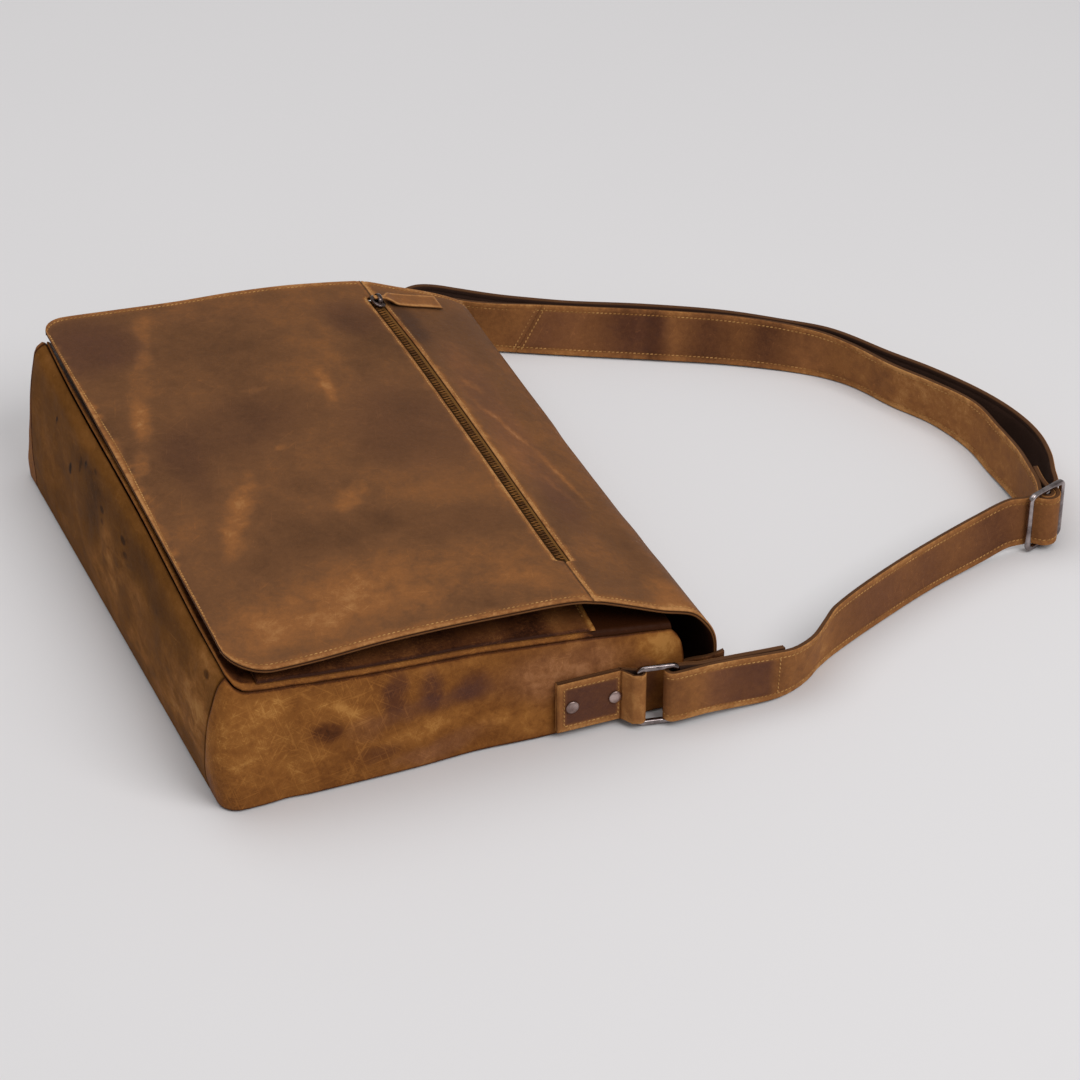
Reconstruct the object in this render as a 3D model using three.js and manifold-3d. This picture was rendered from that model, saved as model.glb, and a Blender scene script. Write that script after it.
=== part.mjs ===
// A leather laptop bag lying on its back, with its flap closed over the front and its shoulder strap
// laid out in a loop beside the mouth.
// Millimetres. +X runs from the base to the mouth, +Y to the far side and +Z up. The origin is the
// middle of the back panel, on the surface that the bag lies on.
import * as THREE from "three";
import { mergeVertices } from "three/addons/utils/BufferGeometryUtils.js";
import Module from "manifold-3d";

// Leather and clearance
const GAP = 0.3;
const SEAM_GAP = 0.4;
const LEATHER = 2.2;
const POCKET_LEATHER = 1.8;
const FLAP_LEATHER = 3;
const TAB_LEATHER = 2;
const STRAP_LEATHER = 3;

// Body
const HALF_WIDTH = 195;
const BASE_X = -143;
const MOUTH_X = 143;
const CORNER_RADIUS = 12;
const LIP_RADIUS = 4;
const LIP_GAP = 0.6;
const FRONT_EDGE_X = 134;
const POCKET_START_X = -126;
const POCKET_EDGE_X = 86;
const BASE_RISE_REACH = { full: -132, none: -120 };
const GUSSET_LEAN = 2;
const GUSSET_LEAN_START = 0.6;
const CROWN_HALF_WIDTH = 190;
const CROWN_POWER = 2.4;

// Flap
const FLAP_NEAR_Y = -194;
const FLAP_FAR_Y = 200;
const FLAP_NEAR_CORNER = 24;
const FLAP_FAR_CORNER = 14;
const SEAM_ROW = 11;
const SEAM_ROW_STEP = 8;
const ZIP_NEAR_Y = -150;
const ZIP_FAR_Y = 176;
const ZIP_END_TAPER = 2.5;
const ZIP_SLOT_HALF = 5;
const ZIP_TAPE = 1.2;
const ZIP_SINK = 1.3;
const ZIP_COIL_RISE = 1;
const ZIP_COIL_HALF = 1.1;

// Zip slider and pull
const ZIP_SLIDER = { y: 168, length: 15, width: 8.4, height: 2.4, bevel: 0.4 };
const ZIP_BRIDGE = { length: 10, width: 3, top: 6, hole: 5.4, holeLow: 2.9, holeHigh: 5.1 };
const ZIP_BRIDGE_SLOPE = { shoulder: 4.5, shoulderTop: 4.8, crown: 3 };
const PULL_LEATHER = 1.5;

// Strap, tabs and metal
const STRAP_WIDTH = 34.5;
const METAL = 3.6;
const METAL_BEVEL = 0.8;
const METAL_CORNER = 5;
const METAL_HOLE_CORNER = 1.2;
const LOOP_RADIUS = 2.5;
const EDGE_CLEAR = 0.35;
const TAB_START_X = 60;
const RING_SPAN = 22.7;
const NEAR_RING = { x: 108.5, out: 4.9, turn: THREE.MathUtils.degToRad(-10.5) };
const FAR_RING = { x: 113.2, out: 0, turn: THREE.MathUtils.degToRad(100) };
const NEAR_LOOP_SLACK = 2.5;
const FAR_LEG_TURN = THREE.MathUtils.degToRad(55);
const STRAP_SLIDER = { x: 419.2, y: -125.8, turn: THREE.MathUtils.degToRad(20.3), pitch: 14.4 };
const SLIDER_LOOP = { meet: 14, main: 27, end: 30 };
const RIVET = { radius: 4.2, height: 1.8, sides: 12, places: [68.8, 95.9] };
const RIVET_PROFILE = [
  { r: 0, h: 0 },
  { r: 0.9, h: 0 },
  { r: 1, h: 0.35 },
  { r: 0.75, h: 0.8 },
  { r: 0, h: 1 },
];
const MOUTH_TAB_WIDTH = 7.5;

// How far each leg of a tab's fold stands off, by distance from the ring's bar: on its own account, and as
// a share of how far out the ring is
const TAB_UNDER_LEG = [
  { back: 8.5, off: 0, share: 0 },
  { back: 3.5, off: 0, share: 0.53 },
];
const TAB_OVER_LEG = [
  { back: 3.8, off: 3.2, share: 1 },
  { back: 6.5, off: 1.4, share: 0.42 },
  { back: 8.7, off: 0.1, share: 0 },
];

// Height of the side and base walls' sewn top edge
const WALL_TOP = [
  { x: -152, z: 90.5 },
  { x: -134, z: 89.5 },
  { x: -130, z: 84.5 },
  { x: -125, z: 81 },
  { x: -118, z: 79.4 },
  { x: -93, z: 76.4 },
  { x: -60, z: 74.2 },
  { x: -34, z: 71.8 },
  { x: 0, z: 69.6 },
  { x: 27, z: 67.4 },
  { x: 59, z: 64.3 },
  { x: 89, z: 60.8 },
  { x: 143, z: 53 },
];

// How much higher that edge is along the base, from the near corner to the far one
const BASE_RISE = [
  { y: -200, rise: -1.6 },
  { y: -128, rise: -1.6 },
  { y: -75, rise: 1.3 },
  { y: -20, rise: 4.4 },
  { y: 34, rise: 4.4 },
  { y: 84, rise: 3.8 },
  { y: 134, rise: 4.6 },
  { y: 180, rise: 8.1 },
  { y: 200, rise: 9.5 },
];

// How far the base wall stands out at each share of its height, at its near end and its far end
const BASE_SWELL = [
  { up: 0, near: -1.5, far: 7 },
  { up: 0.2, near: 1.8, far: 6.8 },
  { up: 0.42, near: 3.3, far: 4.2 },
  { up: 0.65, near: 2, far: 1.9 },
  { up: 0.85, near: -2.6, far: -1.2 },
  { up: 0.94, near: -5.6, far: -3.6 },
  { up: 1, near: -9.5, far: -11 },
];

// How far each gusset reaches round the base corner to its seam, from where the corner starts
const CORNER_SEAM = [
  { up: 0, reach: 32 },
  { up: 0.1, reach: 32.5 },
  { up: 0.22, reach: 28.5 },
  { up: 0.42, reach: 22 },
  { up: 0.7, reach: 18.5 },
  { up: 0.88, reach: 17.5 },
  { up: 1, reach: 17 },
];

// How far the gusset's mouth edge is cut back at each share of its height
const MOUTH_CUT = [
  { up: 0, back: 0 },
  { up: 0.5, back: 1 },
  { up: 0.8, back: 2.5 },
  { up: 0.93, back: 5.5 },
  { up: 1, back: 9 },
];

// Soft dents in the gussets, a negative depth being a swelling
const GUSSET_DENTS = [
  { x: 12, reach: 26, up: 0.4, rise: 0.45, depth: 4.5 },
  { x: -62, reach: 18, up: 0.7, rise: 0.35, depth: -2 },
  { x: -104, reach: 9, up: 0.45, rise: 0.5, depth: 2.6 },
];

// How far the filled front panel stands up along the middle of the bag
const FRONT_CROWN = [
  { x: -133, rise: 0 },
  { x: -118, rise: 5 },
  { x: -82, rise: 12 },
  { x: -42, rise: 15 },
  { x: -5, rise: 16.8 },
  { x: 30, rise: 17 },
  { x: 60, rise: 16.2 },
  { x: 84, rise: 14.6 },
  { x: 104, rise: 10 },
  { x: 124, rise: 5 },
  { x: 134, rise: 3 },
];

// Outer face of the flap from its hinge on the back panel, round the fold, over the zip seam and down to
// its free edge, at its near edge, middle and far edge
const FLAP = [
  { nearX: 143.4, nearZ: 0.3, middleX: 143.4, middleZ: 0.3, farX: 143.4, farZ: 0.3 },
  { nearX: 152.5, nearZ: 1.6, middleX: 150.5, middleZ: 1.4, farX: 151.5, farZ: 1.5 },
  { nearX: 159, nearZ: 8.5, middleX: 155.5, middleZ: 8, farX: 157, farZ: 8 },
  { nearX: 162.3, nearZ: 20, middleX: 158, middleZ: 20, farX: 160, farZ: 19 },
  { nearX: 163.3, nearZ: 33, middleX: 159.2, middleZ: 33, farX: 161, farZ: 32 },
  { nearX: 162, nearZ: 44.2, middleX: 157.8, middleZ: 46, farX: 159.5, farZ: 44 },
  { nearX: 157, nearZ: 54.4, middleX: 151.5, middleZ: 57, farX: 155.5, farZ: 54 },
  { nearX: 147, nearZ: 64.8, middleX: 141, middleZ: 65, farX: 146, farZ: 61 },
  { nearX: 128, nearZ: 71.6, middleX: 126, middleZ: 71, farX: 128, farZ: 69.5 },
  { nearX: 108, nearZ: 80.3, middleX: 108, middleZ: 78.5, farX: 109, farZ: 77 },
  { nearX: 92, nearZ: 87, middleX: 92, middleZ: 85.6, farX: 92, farZ: 84 },
  { nearX: 84, nearZ: 89.6, middleX: 84, middleZ: 88.3, farX: 84, farZ: 86.8 },
  { nearX: 76, nearZ: 91.8, middleX: 76, middleZ: 89.8, farX: 76, farZ: 88.4 },
  { nearX: 60, nearZ: 93.6, middleX: 60, middleZ: 92.2, farX: 60, farZ: 91 },
  { nearX: 30, nearZ: 94.8, middleX: 30, middleZ: 96.3, farX: 30, farZ: 95 },
  { nearX: -5, nearZ: 96, middleX: -5, middleZ: 99, farX: -5, farZ: 97.6 },
  { nearX: -42, nearZ: 96, middleX: -42, middleZ: 100.2, farX: -42, farZ: 98.8 },
  { nearX: -82, nearZ: 94, middleX: -82, middleZ: 100.8, farX: -82, farZ: 101.4 },
  { nearX: -112, nearZ: 94.2, middleX: -112, middleZ: 101.2, farX: -112, farZ: 103.4 },
  { nearX: -131, nearZ: 97, middleX: -131, middleZ: 101.2, farX: -131, farZ: 103.8 },
];

// Leather zip pull: place along it from the slider, drift to the far side, height over the flap, half width
const PULL = [
  { along: -3, aside: 0, up: 3.5, half: 2 },
  { along: 3, aside: 0.4, up: 3.6, half: 2 },
  { along: 7.5, aside: 3.4, up: 2.9, half: 5.2 },
  { along: 13, aside: 6.6, up: 0.9, half: 7.8 },
  { along: 22, aside: 9, up: 0.4, half: 8 },
  { along: 34, aside: 11.6, up: 0.4, half: 8 },
  { along: 47, aside: 14.5, up: 0.4, half: 8 },
];

// Strap routes: place of the lower edge, lean of the upper edge in degrees and lift of the lower edge. The
// long strap leans to the right of its way, the short one to the left. Each run starts where the last ends.
const LIFT = METAL + EDGE_CLEAR;
const STRAP_FOLD_BACK = [
  { x: 199, y: -205.6, lean: -5, lift: 0.6 },
  { x: 188, y: -207.6, lean: -1, lift: 1 },
  { x: 168, y: -208.3, lean: 0, lift: 2.4 },
  { x: 150, y: -209, lean: 0, lift: LIFT },
  { x: 144, y: -208.4, lean: 0, lift: LIFT },
  { x: 138, y: -206.6, lean: 0, lift: LIFT },
];
const STRAP_NEAR_RUN = [
  { x: 138, y: -212.8, lean: 0, lift: LIFT },
  { x: 150, y: -212.5, lean: 0, lift: LIFT },
  { x: 168, y: -211.8, lean: 0, lift: 2.4 },
  { x: 190, y: -211.1, lean: 2, lift: 0.8 },
  { x: 204, y: -207.8, lean: 7, lift: 0 },
  { x: 218, y: -201.2, lean: 8, lift: 0 },
  { x: 231, y: -191.5, lean: 6, lift: 0 },
  { x: 247, y: -182, lean: 0, lift: 0 },
  { x: 287, y: -163, lean: -3, lift: 0 },
  { x: 334, y: -143, lean: -3, lift: 0 },
  { x: 375, y: -130.5, lean: -5, lift: 1.4 },
  { x: 393, y: -126.6, lean: -3, lift: LIFT },
];
const STRAP_OUTER_RUN = [
  { x: 436, y: -104, lean: 0, lift: 3 },
  { x: 445, y: -82, lean: 0, lift: 1.5 },
  { x: 450.5, y: -56, lean: 0, lift: 0 },
  { x: 448.5, y: -28, lean: 0, lift: 0 },
  { x: 440, y: 2, lean: 0, lift: 0 },
  { x: 424, y: 37, lean: 0, lift: 0 },
  { x: 407, y: 66, lean: 0, lift: 0 },
  { x: 384, y: 107, lean: 0, lift: 0 },
  { x: 358, y: 131, lean: 0, lift: 0 },
  { x: 325, y: 157, lean: 0, lift: 0 },
  { x: 280, y: 183.3, lean: 0, lift: 0 },
  { x: 236, y: 205, lean: 0, lift: 0 },
  { x: 203, y: 223, lean: 0, lift: 1 },
  { x: 187, y: 232, lean: 0, lift: 2 },
  { x: 168.5, y: 244.7, lean: 0, lift: 3 },
  { x: 154, y: 254, lean: 0, lift: LIFT },
  { x: 143, y: 258, lean: 0, lift: LIFT },
  { x: 131, y: 254, lean: 0, lift: LIFT },
  { x: 119.5, y: 242.5, lean: 0, lift: LIFT },
];
const STRAP_INNER_RUN = [
  { x: 121, y: 230.5, lean: 0, lift: LIFT },
  { x: 131, y: 238, lean: 0, lift: LIFT },
  { x: 144, y: 240, lean: 0, lift: LIFT },
  { x: 157, y: 235, lean: -1, lift: 3.4 },
  { x: 171, y: 226, lean: -3, lift: 2 },
  { x: 186, y: 216.5, lean: -8, lift: 0.8 },
  { x: 208, y: 204.5, lean: -15, lift: 0 },
];
const STRAP_RETURN = [
  { x: 208.6, y: 204.2, lean: 15, lift: 0 },
  { x: 232, y: 191.6, lean: 16.5, lift: 0 },
  { x: 282, y: 165.5, lean: 18, lift: 0 },
  { x: 330, y: 139.5, lean: 12, lift: 0 },
  { x: 372, y: 110, lean: 1, lift: 0 },
  { x: 391, y: 87, lean: -6, lift: 0 },
  { x: 405, y: 54, lean: -7, lift: 0 },
  { x: 420, y: 24, lean: -6, lift: 0 },
  { x: 427.5, y: -10, lean: 4, lift: 0 },
  { x: 427, y: -40, lean: 6, lift: 0 },
  { x: 425.8, y: -72, lean: 4, lift: 2 },
  { x: 424.8, y: -98, lean: 0, lift: LIFT },
];
// Where the strap passes behind each outer bar of its slider, from the slider's middle
const SLIDER_WEAVE = [
  { along: 14.4, behind: 4.8 },
  { along: 11, behind: 3.5 },
  { along: 8.4, behind: 0.8 },
];
const WEAVE_FRONT = { from: Math.PI * 1.12, to: Math.PI * 1.88, steps: 5 };
const MOUTH_TAB_ROUTE = [
  { x: 128, y: -190.9, lean: 0, lift: 17 },
  { x: 142, y: -190.9, lean: 0, lift: 20.5 },
  { x: 148, y: -192.4, lean: 0, lift: 22.3 },
  { x: 154, y: -196.2, lean: 0, lift: 24.6 },
  { x: 159, y: -198.2, lean: 0, lift: 26.4 },
  { x: 165, y: -199, lean: 0, lift: 28.3 },
];

// Shares of a length at which each kind of wall has a line of facets
const GUSSET_LINES = [
  0, 0.02, 0.06, 0.12, 0.2, 0.29, 0.38, 0.46, 0.54, 0.61, 0.67, 0.73, 0.79, 0.84, 0.88, 0.91, 0.935,
  0.955, 0.975, 1,
];
const WALL_LINES = [0, 0.14, 0.3, 0.48, 0.66, 0.82, 0.92, 1];
const BASE_HALF_LINES = [0, 0.012, 0.03, 0.06, 0.12, 0.2, 0.3, 0.4];
const PANEL_HALF_LINES = [1, 0.86, 0.66, 0.4, 0.13];
const PANEL_ROWS = [-100, -70, -40, -10, 20, 50, 70, POCKET_EDGE_X, 100, 118, FRONT_EDGE_X];
const LIP_ANGLES = [0, 30, 60, 90];
const FIRST_PANEL_ROW = 8.5;
const CORNER_ROWS = [0, 1.6, 5, CORNER_RADIUS];
const BACK_ROWS = [-112, -90, -60, -30, -12, 8, 30, 60, 100, MOUTH_X];
const BACK_COLUMNS = [-1, -0.96, 0, 0.96, 1];
const FLAP_PANEL_LINES = [
  0, 0.03, 0.08, 0.15, 0.23, 0.32, 0.42, 0.52, 0.62, 0.72, 0.81, 0.88, 0.93, 0.965, 0.99, 1,
];
const FLAP_YOKE_CELLS = 22;
const FLAP_INNER_Y = [-176, -124, -88, -46, 0, 46, 88, 126, 154, 188];

// Materials
function finish(color, roughness, metalness) {
  return new THREE.MeshStandardMaterial({ color, roughness, metalness });
}
const FLAP_BROWN = finish(0x5a3a22, 0.5, 0);
const BODY_TAN = finish(0x86552c, 0.55, 0);
const BASE_BROWN = finish(0x6d5232, 0.6, 0);
const STRAP_BROWN = finish(0x5c3b27, 0.55, 0);
const ZIP_GOLD = finish(0x8a6226, 0.7, 0);
const GUNMETAL = finish(0x77716e, 0.3, 1);

// Value of a table's column on the smooth curve through its rows
function follow(rows, key, column, at) {
  const last = rows.length - 1;
  let start = 0;
  while (start < last - 1 && at > rows[start + 1][key]) start += 1;
  const slopeAt = (row) => {
    const before = rows[Math.max(row - 1, 0)];
    const after = rows[Math.min(row + 1, last)];
    return (after[column] - before[column]) / (after[key] - before[key]);
  };
  const span = rows[start + 1][key] - rows[start][key];
  const share = (at - rows[start][key]) / span;
  return hermite(
    rows[start][column],
    rows[start + 1][column],
    slopeAt(start) * span,
    slopeAt(start + 1) * span,
    share,
  );
}

// Cubic from one value to the next with the given end slopes
function hermite(from, to, slopeFrom, slopeTo, share) {
  const square = share * share;
  const cube = square * share;
  const rise = 3 * square - 2 * cube;
  return from + (to - from) * rise + slopeFrom * (cube - 2 * square + share) + slopeTo * (cube - square);
}

function smoothStep(low, high, value) {
  return THREE.MathUtils.smoothstep(value, low, high);
}

// Geometry from points and triangles, turned so that its faces point out
function solidGeometry(points, triangles) {
  let volume = 0;
  for (const [a, b, c] of triangles) {
    volume += points[a].dot(points[b].clone().cross(points[c]));
  }
  const facing = volume < 0 ? triangles.map(([a, b, c]) => [a, c, b]) : triangles;
  const geometry = new THREE.BufferGeometry().setFromPoints(points);
  geometry.setIndex(facing.flat());
  geometry.computeVertexNormals();
  return geometry;
}

// Unit normal of a surface of two parameters, from its slopes
function surfaceNormal(surface, u, w) {
  const step = 0.01;
  const along = surface(u + step, w).sub(surface(u - step, w));
  const across = surface(u, w + step).sub(surface(u, w - step));
  return along.cross(across).normalize();
}

// A leather wall: a grid of (u, w) pairs on its outer surface, and the same grid sunk by its thickness
function wallGeometry(surface, grid, thickness, outward, raise = 0) {
  const rows = grid.length;
  const columns = grid[0].length;
  const places = grid.flat();
  const points = [];
  for (const depth of [-raise, thickness - raise]) {
    for (const [u, w] of places) {
      const normal = surfaceNormal(surface, u, w).multiplyScalar(-outward * depth);
      points.push(surface(u, w).add(normal));
    }
  }
  const triangles = [];
  const quad = (a, b, c, d) => triangles.push([a, b, c], [a, c, d]);
  const outer = (row, column) => row * columns + column;
  const inner = (row, column) => rows * columns + row * columns + column;
  for (let i = 0; i + 1 < rows; i += 1) {
    for (let j = 0; j + 1 < columns; j += 1) {
      quad(outer(i, j), outer(i + 1, j), outer(i + 1, j + 1), outer(i, j + 1));
      quad(inner(i, j), inner(i, j + 1), inner(i + 1, j + 1), inner(i + 1, j));
    }
  }
  for (let i = 0; i + 1 < rows; i += 1) {
    quad(outer(i, 0), inner(i, 0), inner(i + 1, 0), outer(i + 1, 0));
    quad(outer(i, columns - 1), outer(i + 1, columns - 1), inner(i + 1, columns - 1), inner(i, columns - 1));
  }
  for (let j = 0; j + 1 < columns; j += 1) {
    quad(outer(0, j), outer(0, j + 1), inner(0, j + 1), inner(0, j));
    quad(outer(rows - 1, j), inner(rows - 1, j), inner(rows - 1, j + 1), outer(rows - 1, j + 1));
  }
  return solidGeometry(points, triangles);
}

// Outline of the body seen from above, by distance from the near mouth edge round the base
const SIDE_RUN = MOUTH_X - BASE_X - CORNER_RADIUS;
const CORNER_RUN = (CORNER_RADIUS * Math.PI) / 2;
const BASE_RUN = 2 * (HALF_WIDTH - CORNER_RADIUS);
const OUTLINE_RUN = 2 * (SIDE_RUN + CORNER_RUN) + BASE_RUN;

function outline(distance) {
  const onFarHalf = distance > OUTLINE_RUN / 2;
  const run = onFarHalf ? OUTLINE_RUN - distance : distance;
  const side = onFarHalf ? 1 : -1;
  if (run <= SIDE_RUN) {
    return { x: MOUTH_X - run, y: side * HALF_WIDTH };
  }
  if (run >= SIDE_RUN + CORNER_RUN) {
    return { x: BASE_X, y: side * (HALF_WIDTH - CORNER_RADIUS - (run - SIDE_RUN - CORNER_RUN)) };
  }
  const turn = (run - SIDE_RUN) / CORNER_RADIUS;
  return {
    x: BASE_X + CORNER_RADIUS * (1 - Math.sin(turn)),
    y: side * (HALF_WIDTH - CORNER_RADIUS * (1 - Math.cos(turn))),
  };
}

// Where a point of the plain outline lies on the soft bag, at a share of the wall's height
function softPlace(x, y, up) {
  const baseShare = Math.max((MOUTH_X - x) / (MOUTH_X - BASE_X), 0) ** 3;
  const sideShare = Math.abs(y / HALF_WIDTH) ** 6;
  const farShare = (1 + y / HALF_WIDTH) / 2;
  const nearOut = follow(BASE_SWELL, "up", "near", up);
  const farOut = follow(BASE_SWELL, "up", "far", up);
  const baseOut = nearOut + (farOut - nearOut) * farShare;
  let gussetIn = GUSSET_LEAN * smoothStep(GUSSET_LEAN_START, 1, up);
  for (const dent of GUSSET_DENTS) {
    const across = (x - dent.x) / dent.reach;
    const over = (up - dent.up) / dent.rise;
    gussetIn += dent.depth * Math.exp(-across * across - over * over);
  }
  return { x: x - baseOut * baseShare, y: y - Math.sign(y) * gussetIn * sideShare };
}

function wallTop(x, y) {
  const atBase = 1 - smoothStep(BASE_RISE_REACH.full, BASE_RISE_REACH.none, x);
  return follow(WALL_TOP, "x", "z", x) + atBase * follow(BASE_RISE, "y", "rise", y);
}

// Side and base walls as one band round the bag
function bandSurface(distance, up) {
  const plain = outline(distance);
  const soft = softPlace(plain.x, plain.y, up);
  const foot = LEATHER + GAP;
  return new THREE.Vector3(soft.x, soft.y, foot + up * (wallTop(soft.x, soft.y) - foot));
}

function cornerSeam(up) {
  return SIDE_RUN + follow(CORNER_SEAM, "up", "reach", up);
}

function gussetGeometry(isFar) {
  const grid = GUSSET_LINES.map((share) =>
    WALL_LINES.map((up) => {
      const start = follow(MOUTH_CUT, "up", "back", up);
      const end = cornerSeam(up) - SEAM_GAP / 2;
      const distance = start + share * (end - start);
      return [isFar ? OUTLINE_RUN - distance : distance, up];
    }),
  );
  return wallGeometry(bandSurface, grid, LEATHER, -1);
}

function mirrored(shares) {
  return [...shares, 0.5, ...shares.map((share) => 1 - share).reverse()];
}

function basePanelGeometry() {
  const grid = mirrored(BASE_HALF_LINES).map((share) =>
    WALL_LINES.map((up) => {
      const start = cornerSeam(up) + SEAM_GAP / 2;
      return [start + share * (OUTLINE_RUN - 2 * start), up];
    }),
  );
  return wallGeometry(bandSurface, grid, LEATHER, -1);
}

// Half width of the plain outline at a place along the bag
function halfWidthAt(x) {
  const short = Math.max(BASE_X + CORNER_RADIUS - x, 0);
  return HALF_WIDTH - CORNER_RADIUS + Math.sqrt(CORNER_RADIUS ** 2 - short ** 2);
}

function backPanelGeometry() {
  const surface = (x, y) => {
    const soft = softPlace(x, y, 0);
    return new THREE.Vector3(soft.x, soft.y, 0);
  };
  const rows = [...CORNER_ROWS.map((inset) => BASE_X + inset), ...BACK_ROWS];
  const grid = rows.map((x) => BACK_COLUMNS.map((share) => [x, share * halfWidthAt(x)]));
  return wallGeometry(surface, grid, LEATHER, -1);
}

// Distance of a point of the plain outline from its sewn edge, negative outside
function edgeDistance(x, y) {
  const inX = x - BASE_X;
  const inY = HALF_WIDTH - Math.abs(y);
  if (inX < CORNER_RADIUS && inY < CORNER_RADIUS) {
    return CORNER_RADIUS - Math.hypot(CORNER_RADIUS - inX, CORNER_RADIUS - inY);
  }
  return Math.min(inX, inY);
}

// Front panel: a quarter-round turned edge over the walls, and a crown towards the middle
function frontSurface(x, y) {
  const soft = softPlace(x, y, 1);
  const inset = edgeDistance(x, y);
  const short = LIP_RADIUS - Math.min(Math.abs(inset), LIP_RADIUS);
  const lip = Math.sign(inset) * Math.sqrt(LIP_RADIUS ** 2 - short ** 2);
  const spread = 1 - Math.min(Math.abs(y) / CROWN_HALF_WIDTH, 1) ** CROWN_POWER;
  const crown = Math.max(follow(FRONT_CROWN, "x", "rise", soft.x), 0) * spread;
  return new THREE.Vector3(soft.x, soft.y, wallTop(soft.x, soft.y) + LIP_GAP + lip + crown);
}

const LIP_INSETS = LIP_ANGLES.map((angle) => LIP_RADIUS * (1 - Math.cos(THREE.MathUtils.degToRad(angle))));

// Facet lines across the front panel, those on its turned edge first and last
function panelRow(x, insets) {
  const half = halfWidthAt(x);
  const inner = PANEL_HALF_LINES.slice(1).map((share) => share * (half - LIP_RADIUS));
  const side = [...insets.map((inset) => half - inset), ...inner];
  return [...side.map((y) => [x, -y]), ...side.reverse().map((y) => [x, y])];
}

function frontPanelGeometry() {
  const edgeRows = [...LIP_INSETS, FIRST_PANEL_ROW].map((inset) => BASE_X + inset);
  const rows = [...edgeRows, POCKET_START_X, ...PANEL_ROWS];
  const grid = rows.map((x) => panelRow(x, LIP_INSETS));
  return wallGeometry(frontSurface, grid, LEATHER, 1);
}

function frontPocketGeometry() {
  const rows = [POCKET_START_X, ...PANEL_ROWS.filter((x) => x <= POCKET_EDGE_X)];
  const grid = rows.map((x) => panelRow(x, LIP_INSETS.slice(2)));
  return wallGeometry(frontSurface, grid, POCKET_LEATHER, 1, GAP + POCKET_LEATHER);
}

// Flap: three profiles, at the near edge, middle and far edge, with a parabola across them
const FLAP_MIDDLE_Y = (FLAP_NEAR_Y + FLAP_FAR_Y) / 2;
const FLAP_HALF = (FLAP_FAR_Y - FLAP_NEAR_Y) / 2;
const FLAP_ROWS = FLAP.map((row, step) => ({ step, ...row }));
const FLAP_END = FLAP.length - 1;

function flapSurface(step, y) {
  const across = (y - FLAP_MIDDLE_Y) / FLAP_HALF;
  const near = (across * (across - 1)) / 2;
  const middle = 1 - across * across;
  const far = (across * (across + 1)) / 2;
  const value = (axis) =>
    near * follow(FLAP_ROWS, "step", `near${axis}`, step) +
    middle * follow(FLAP_ROWS, "step", `middle${axis}`, step) +
    far * follow(FLAP_ROWS, "step", `far${axis}`, step);
  return new THREE.Vector3(value("X"), y, value("Z"));
}

function flapNormal(step, y) {
  return surfaceNormal(flapSurface, step, y).negate();
}

// How open the zip seam is: 1 along the zip, 0 where the flap's two parts are sewn together
function zipOpen(y) {
  const nearEnd = smoothStep(ZIP_NEAR_Y - ZIP_END_TAPER, ZIP_NEAR_Y, y);
  const farEnd = smoothStep(ZIP_FAR_Y, ZIP_FAR_Y + ZIP_END_TAPER, y);
  return nearEnd * (1 - farEnd);
}

function seamSteps(y) {
  return (SEAM_GAP / 2 + (ZIP_SLOT_HALF - SEAM_GAP / 2) * zipOpen(y)) / SEAM_ROW_STEP;
}

const FLAP_LINES_Y = [
  FLAP_NEAR_Y,
  ...FLAP_INNER_Y,
  ZIP_NEAR_Y - ZIP_END_TAPER,
  ZIP_NEAR_Y,
  ZIP_FAR_Y,
  ZIP_FAR_Y + ZIP_END_TAPER,
  FLAP_FAR_Y,
].sort((a, b) => a - b);

function flapYokeGeometry() {
  const grid = [];
  for (let cell = 0; cell <= FLAP_YOKE_CELLS; cell += 1) {
    const share = cell / FLAP_YOKE_CELLS;
    grid.push(FLAP_LINES_Y.map((y) => [share * (SEAM_ROW - seamSteps(y)), y]));
  }
  return wallGeometry(flapSurface, grid, FLAP_LEATHER, -1);
}

// How much the flap's rounded corner takes off a line of facets at a place along the flap
function cornerCut(radius, fromEdge) {
  const short = radius - Math.min(Math.max(fromEdge, 0), radius);
  return radius - Math.sqrt(radius ** 2 - short ** 2);
}

function flapPanelGeometry() {
  const grid = FLAP_PANEL_LINES.map((share) =>
    FLAP_LINES_Y.map((y) => {
      const start = SEAM_ROW + seamSteps(y);
      const step = start + share * (FLAP_END - start);
      const fromEdge = flapSurface(step, y).x - FLAP[FLAP_END].middleX;
      const low = FLAP_NEAR_Y + cornerCut(FLAP_NEAR_CORNER, fromEdge);
      const high = FLAP_FAR_Y - cornerCut(FLAP_FAR_CORNER, fromEdge);
      const across = (y - FLAP_NEAR_Y) / (FLAP_FAR_Y - FLAP_NEAR_Y);
      return [step, low + across * (high - low)];
    }),
  );
  return wallGeometry(flapSurface, grid, FLAP_LEATHER, -1);
}

// Zip tape with its coil as a ridge, sunk between the flap's two parts
function zipGeometry() {
  const halfTape = ZIP_SLOT_HALF - GAP;
  const foot = ZIP_COIL_HALF + ZIP_COIL_RISE / 2;
  const offsets = [-halfTape, -foot, -ZIP_COIL_HALF, ZIP_COIL_HALF, foot, halfTape];
  const surface = (offset, y) => {
    const step = SEAM_ROW + offset / SEAM_ROW_STEP;
    const rise = ZIP_COIL_RISE * (1 - smoothStep(ZIP_COIL_HALF, foot, Math.abs(offset)));
    return flapSurface(step, y).addScaledVector(flapNormal(step, y), rise - ZIP_SINK);
  };
  const ends = { low: ZIP_NEAR_Y + GAP, high: ZIP_FAR_Y - GAP };
  const lines = [ends.low, ...FLAP_INNER_Y.filter((y) => y > ends.low && y < ends.high), ends.high];
  const grid = offsets.map((offset) => lines.map((y) => [offset, y]));
  return wallGeometry(surface, grid, ZIP_TAPE, -1);
}

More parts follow.
